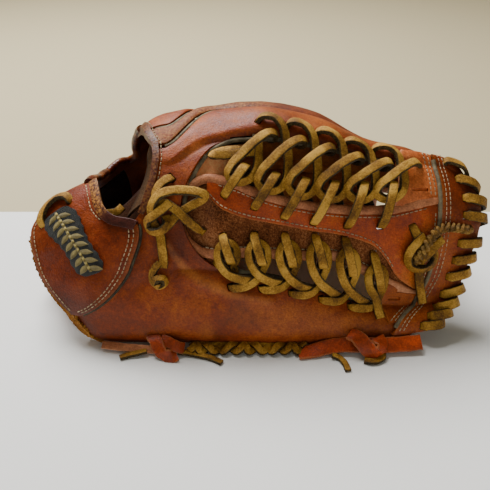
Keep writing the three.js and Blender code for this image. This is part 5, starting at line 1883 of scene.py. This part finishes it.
# %% [markdown]
# Thin laces lie on the floor under the thongs. Between the two knots they are looped into a flat
# chain, which is two strands that swing from side to side and pass over each other in turn.
# %% Floor laces
FLOOR_LACES = {
    "thumb_edge_lace_left": [(-82, -82.6, 1.2), (-77, -80.6, 1.4), (-71, -79.4, 2.2), (-66, -78.4, 3)],
    "thumb_edge_lace": [
        (-47, -78.6, 2.4), (-40, -79.2, 1.6), (-33, -80.8, 1.2), (-25.5, -83.6, 1.2), (-20, -87.0, 1.2),
    ],
    "thumb_edge_lace_right": [(47, -81.4, 2.2), (51.5, -83.2, 1.2), (54, -88.0, 1.2), (55, -93.5, 1.2)],
}
CURL = [(66, -85.2, 1.2), (70, -86.4, 1.6), (74.5, -85.2, 1.4), (77.5, -82.6, 2.6), (75.5, -80.6, 4)]
FLAT_LACE = {"thick": 2.0, "lean": 0}
for name, rows in FLOOR_LACES.items():
    lace(name.replace("thumb_edge", "floor"), name, level(rows), width=3.8, **FLAT_LACE)

CHAIN = {"start": -40, "pitch": 7.4, "steps": 10, "near": -78.4, "far": -71, "low": 1.4, "high": 4.0}
CHAIN_UP = (0, -0.35, 0.94)


def chain_strand(phase):
    rows = []
    for k in range(CHAIN["steps"]):
        x = CHAIN["start"] + k * CHAIN["pitch"] + 1.2 * math.sin(3.1 * k + phase)
        edge = CHAIN["near"] if (k + phase) % 2 == 0 else CHAIN["far"]
        middle = (CHAIN["near"] + CHAIN["far"]) / 2
        height = CHAIN["high"] if (k + phase) % 4 < 2 else CHAIN["low"]
        rows += [(x, edge, 2.6), (x + CHAIN["pitch"] / 2, middle, height)]
    return level(rows, [CHAIN_UP] * len(rows))


lace("floor_chain", "thumb_edge_lace_middle", chain_strand(0), width=5.0, **FLAT_LACE)
lace("floor_chain_second", None, chain_strand(1), width=5.0, **FLAT_LACE)
lace("floor_curl", None, level(CURL), width=4.2, **FLAT_LACE)

# %% [markdown]
# ## Punching the holes
# Every punch goes through its leather by one Boolean for each piece. The lace then sits in an
# oval hole a little larger than itself. The leathers are punched last, when all the laces that
# pass through them are known, and a Boolean needs both shapes closed, as these are.
# %% Punch the holes
PUNCHED = {
    "thumb_index_back": backs["thumb_index_back"],
    "thumb_base_panel": thumb_panel,
    "web_strap": web_strap,
    "web_overlay": overlay,
    "web_crown": crown,
    "index_tab": index_tab,
    "thumb_tab": thumb_tab,
}
for name, piece in PUNCHED.items():
    shapes = [lofted("punch", rings) for rings in punches[name]]
    tool = joined_to(shapes[0], shapes)
    modify(piece, "BOOLEAN", operation="DIFFERENCE", solver="MANIFOLD", object=tool)
    print(name, "has", len(shapes), "holes")
    bpy.data.objects.remove(tool)

shown(web_strap, SUEDE, "suede", "web_strap")
shown(overlay, ORANGE, "orange", "web_overlay")
shown(crown, SHELL, "shell", "web_crown")
shown(index_tab, TAB, "panel", "index_tip_tab")
shown(thumb_tab, SHELL, "pink", "thumb_tip_tab")

# %% [markdown]
# ## Stitches
# One stitch is modelled: a short thick thread with round ends. Stitches could be drawn by the
# finish, but they catch the light as small ridges. So the stitch is copied along every seam at
# an even pitch, and all the copies of a seam are one piece. It starts as a sphere, whose faces
# Blender lists in a new order each time, so they are sorted.
# %% Stitches
STITCH = {"length": 2.1, "pitch": 2.9, "radius": 0.34, "flat": 0.8}


def one_stitch():
    bpy.ops.object.select_all(action="DESELECT")
    bpy.ops.mesh.primitive_uv_sphere_add(segments=8, ring_count=6, radius=STITCH["radius"] * MM)
    piece = bpy.context.object
    corners = points_of(piece)[:, [2, 0, 1]]
    corners[:, 0] += np.sign(corners[:, 0].round(7)) * (STITCH["length"] / 2 - STITCH["radius"]) * MM
    corners[:, 2] *= STITCH["flat"]
    faces = sorted(list(face.vertices) for face in piece.data.polygons)
    bpy.data.objects.remove(piece)
    return corners, faces


STITCH_CORNERS, STITCH_FACES = one_stitch()


def stitched(name, *rows):
    corners, faces = [], []
    for x, seam, out in rows:
        x, seam, out = np.broadcast_arrays(x, seam, out)
        at = place(x, seam, out)
        run = np.concatenate([[0], np.cumsum(np.linalg.norm(np.diff(at, axis=0), axis=1))])
        spots = np.arange(STITCH["pitch"] * MM / 2, run[-1], STITCH["pitch"] * MM)
        spot_at = lambda along: np.stack([np.interp(along, run, at[:, k]) for k in range(3)], -1)
        way = unit(spot_at(spots + 0.5 * MM) - spot_at(spots - 0.5 * MM))
        up = rise(np.interp(spots, run, x), np.interp(spots, run, seam))
        up = unit(up - way * np.sum(up * way, -1, keepdims=True))
        side = np.cross(way, up)
        for middle, *axes in zip(spot_at(spots), way, side, up):
            base = len(corners) * len(STITCH_CORNERS)
            corners.append(middle + STITCH_CORNERS @ np.stack(axes))
            faces += [[base + i for i in face] for face in STITCH_FACES]
    piece = from_faces(name, np.concatenate(corners), faces)
    bpy.ops.object.shade_smooth()
    shown(piece, THREAD, "welt")


print("a stitch has", len(STITCH_FACES), "faces")

# %% [markdown]
# Each seam is a row of stitches a little above the leather. It could be drawn by eye, but a sewing
# machine keeps its distance from the edge, so each row follows the edge of its piece. The seams
# of one piece are made together.
# %% Seams
def panel_row(start, end, edge, away, side):
    s = np.linspace(start, end, 60)
    x = column(BASE, edge, s, "seam") + away
    seam = s if side > 0 else 6 - s
    return x, seam, panel_out(x, seam) + 0.2


x, seam, top = near_edge
x = x + 3.9
stitched("opening_stitches", (x, seam, top + lift(x, seam) + 0.25))
for side, name in ((1, "thumb"), (-1, "pinky")):
    stitched(
        name + "_panel_stitches",
        panel_row(0.5, 1.36, "end", -3.2, side),
        panel_row(0.5, 1.36, "end", -6.0, side),
        panel_row(1.5, 1.97, "end", -6.2, side),
        panel_row(0.5, 1.95, "heel", 2.6, side),
    )


def strap_row(edge, away, start, end, out, count=100):
    x = np.linspace(start, end, count)
    seam = edge(x) + away / SEAM_MM
    return x, seam, out(x, seam) + 0.2 if callable(out) else out


stitched(
    "strap_stitches",
    strap_row(overlay_low, 2.0, -27, 86, overlay_out, 120),
    strap_row(strap_high, -1.2, -22, 105, OVERLAY_OUT + 0.25),
    strap_row(strap_low, 1.2, -30, 80, 0.35),
)


def crown_row(start, end, away, out):
    seam = np.linspace(start, end, 80)
    x = column(CROWN_BAND, "inner", seam, "seam") + away
    return x, seam, under(x, seam) + out


stitched(
    "crown_stitches",
    crown_row(0.36, 2.16, 1.8, BAND + 0.25),
    crown_row(0.36, 2.16, 4.4, BAND + 0.5),
    crown_row(1.76, 2.13, -5.0, GAP + 2.2),
    crown_row(1.76, 2.13, -7.8, GAP + 2.2),
    crown_row(0.58, 1.0, -5.0, GAP + 2.2),
    crown_row(0.58, 1.0, -7.8, GAP + 2.2),
    crown_row(1.1, 1.66, -4.6, GAP + 1.9),
)

# %% [markdown]
# ## The web's hole
# Light leather lies under the hole's edge at the upper left, behind the folded lace. Without it
# the eye would look through the hole into the dark of the pocket. Its colours are brighter than
# the leather's own and its middle band is lightened further: painted light where the hole's rim
# shades it. Its deep end is darkened as painted shade.
# %% Facing of the hole
def facing_spot(u, v):
    start = hole_edge(mix(1.6, 1.98, v)) - 3
    x = mix(start, mix(-15, -3, v), u)
    seam = mix(column(WEB_STRAP, "high", x) + 0.045, 1.985, v)
    return place(x, seam, mix(-1.2, -3.6, u**1.3) - 0.5 * np.sin(math.pi * v) * u)


facing_leather, u, v = laid("hole_facing", 24, 24, facing_spot)
# Painted light: a lighter band across the facing's middle, and painted shade at its deep end.
mark(facing_leather, "wear_and_highlight", 0.7 * smooth(0.2, 0.5, u) * smooth(1.0, 0.7, u))
mark(facing_leather, "dirt_and_shade", 0.8 * smooth(0.9, 1.0, u))
thicken(facing_leather, 1.6, 0.4)
shown(facing_leather, FACING_WITH_PAINTED_LIGHT, "palm")

# %% [markdown]
# ## The patch
# The badge is a padded dark patch with an embroidered vine: a stem and pairs of leaves in khaki
# thread. Its threads are too fine to model, so they are lines on the piece's own UV map, which
# turn with each leaf.
# %% Cloth and thread of the patch
def cloth(name, dark, light, ribs, depth):
    finish, tree = new_finish(name)
    uneven = noise(tree, spots_of(tree), 260, 3, 0.6)
    lines = node(
        tree, "ShaderNodeTexWave", {"wave_type": "BANDS", "bands_direction": "X"},
        Vector=spots_of(tree, "UV"), Scale=ribs, Distortion=1.2, Detail=2.0,
    ).outputs["Fac"]
    tone = summed(tree, (uneven, 0.6), (lines, 0.4))
    colour = ramp(tree, tone, (0.3, dark), (0.7, light))
    finished(tree, colour, 0.85, lines, depth, 0.2, 0.2)
    return finish


BADGE = cloth("badge_cloth", "#0e100e", "#2a2c28", 40.0, 0.4)
EMBROIDERY = cloth("badge_thread", "#5c4f26", "#b09c58", 4.5, 0.5)
print("cloths:", BADGE.name, EMBROIDERY.name)

# %% [markdown]
# The patch lies on the panel along a slanted line, with its own along and across, so that its
# parts can be laid flat before they are bent. The patch swells in the middle, and its edge has
# the lobes of a sewn badge. One leaf is a recipe, and each copy is turned to its side of the stem.
# %% Patch
PATCH = {"from": (-124, 1.72), "to": (-96, 0.98), "half": 10.5, "leaf": (9.6, 4.6), "pairs": 8, "lobes": 8}
PATCH_LONG = math.hypot(PATCH["to"][0] - PATCH["from"][0], (PATCH["from"][1] - PATCH["to"][1]) * SEAM_MM)
LEAF_TURN = math.radians(52)
VINE = {"start": 5, "spare": 14, "stagger": 2.4, "aside": 0.6}


def badge_at(a, c, out):
    x = mix(PATCH["from"][0], PATCH["to"][0], a / PATCH_LONG) + c * 0.9
    seam = mix(PATCH["from"][1], PATCH["to"][1], a / PATCH_LONG) + c * 0.45 / SEAM_MM
    return place(x, seam, over_back(x, seam) + LEATHER + 0.5 + out)


def badge_spot(u, v):
    wave = 1 + 0.04 * np.sin(u * 2 * math.pi * PATCH["lobes"]) + 0.16 * np.cos(2 * math.pi * (u - 0.12))
    end = np.sqrt(np.clip(1 - (2 * u - 1) ** 4, 0, 1))
    c = (2 * v - 1) * PATCH["half"] * mix(0.35, 1, end) * wave
    dome = 1.0 * (1 - np.abs(2 * v - 1) ** 3.5) * end
    return badge_at(u * PATCH_LONG, c, 0.9 + dome)


badge, u, v = laid("badge", 90, 24, badge_spot)
thicken(badge, 1.4, 0.5)
shown(badge, BADGE, "patch", "patch")


def leaf_spot(a, c, angle):
    def spot(u, v):
        long, wide = PATCH["leaf"]
        half = wide / 2 * np.sin(math.pi * np.clip(u, 0.02, 0.985) ** 0.8)
        along, across = (u - 0.08) * long, (2 * v - 1) * half
        turn_a = along * math.cos(angle) - across * math.sin(angle)
        turn_c = along * math.sin(angle) + across * math.cos(angle)
        dome = 0.9 * (1 - (2 * v - 1) ** 2) * np.sin(math.pi * np.clip(u, 0, 1)) ** 0.6
        return badge_at(a + turn_a, c + turn_c, 1.75 + dome)

    return spot


def stem_spot(u, v):
    return badge_at(3 + u * (PATCH_LONG - 6), (2 * v - 1) * 0.9, 1.9 + 0.7 * (1 - (2 * v - 1) ** 2))


leaves = []
for k in range(PATCH["pairs"]):
    for side in (1, -1):
        along = VINE["start"] + k * (PATCH_LONG - VINE["spare"]) / (PATCH["pairs"] - 1)
        a = along + (VINE["stagger"] if side > 0 else 0)
        leaf, u, v = laid("leaf", 10, 8, leaf_spot(a, side * VINE["aside"], side * LEAF_TURN))
        leaves.append(leaf)
stem, u, v = laid("badge_embroidery", 80, 6, stem_spot)
vine = joined_to(stem, leaves + [stem])
thicken(vine, 0.5, 0)
shown(vine, EMBROIDERY, "patch")

# %% [markdown]
# ## Floor, wall and light
# The glove lies near the back edge of a plain white board, on a plain beige ground with a wall
# behind it. One large plane could carry both colours, but separate planes keep each paint plain.
# %% Floor and wall
STAGE = {"edge": 0.108, "half": 1.5, "wall": 1.6}


def plain(name, colour, roughness=0.8):
    finish, tree = new_finish(name)
    surface = node(tree, "ShaderNodeBsdfPrincipled", Base_Color=linear(colour), Roughness=roughness)
    node(tree, "ShaderNodeOutputMaterial", Surface=surface.outputs["BSDF"])
    return finish


def ground(name, low, high, finish):
    bpy.ops.object.select_all(action="DESELECT")
    bpy.ops.mesh.primitive_plane_add(size=1)
    piece = bpy.context.object
    piece.name = name
    corners = points_of(piece)
    corners[:, 0] *= 2 * STAGE["half"]
    corners[:, 1] = mix(low, high, corners[:, 1] + 0.5)
    set_points(piece, corners)
    piece.data.materials.append(finish)


BACKDROP = plain("backdrop_paint", "#bdb08c")
ground("floor", -2 * STAGE["half"], STAGE["edge"], plain("floor_paint", "#f3f2ee"))
ground("floor_behind", STAGE["edge"], STAGE["wall"], BACKDROP)
bpy.ops.mesh.primitive_plane_add(
    size=2 * STAGE["half"], location=(0, STAGE["wall"], 0), rotation=(math.radians(90), 0, 0)
)
wall = bpy.context.object
wall.name = "wall"
wall.data.materials.append(BACKDROP)
print("the board ends", STAGE["edge"] / MM, "mm behind the glove's middle")

# %% [markdown]
# One broad soft light hangs above the glove and a little behind, so that the sides towards the
# camera are darker, with a weak fill from the front and a dim room all round. A picture of a
# real studio could light it too, but two lamps show plainly where each shadow comes from.
# %% Light
SKY = {"colour": "#f2ecd4", "strength": 0.15}
LAMPS_AIM = Vector((0, 0, 0.05))
LIGHTS = table(
    "x y z size power",
    (-0.4, 0.6, 1.15, 0.8, 40),
    (0.25, -1.3, 0.4, 1.0, 3.4),
)


def lamp(x, y, z, size, power):
    bpy.ops.object.light_add(type="AREA", location=(x, y, z))
    light = bpy.context.object
    light.data.size = size
    light.data.energy = power
    light.rotation_euler = (LAMPS_AIM - Vector((x, y, z))).to_track_quat("-Z", "Y").to_euler()


for row in zip(*LIGHTS.values()):
    lamp(*(float(value) for value in row))
world = bpy.data.worlds.new("studio")
world.use_nodes = True
sky = world.node_tree.nodes["Background"].inputs
sky["Color"].default_value = linear(SKY["colour"])
sky["Strength"].default_value = SKY["strength"]
bpy.context.scene.world = world
print("lights:", len(LIGHTS["x"]))
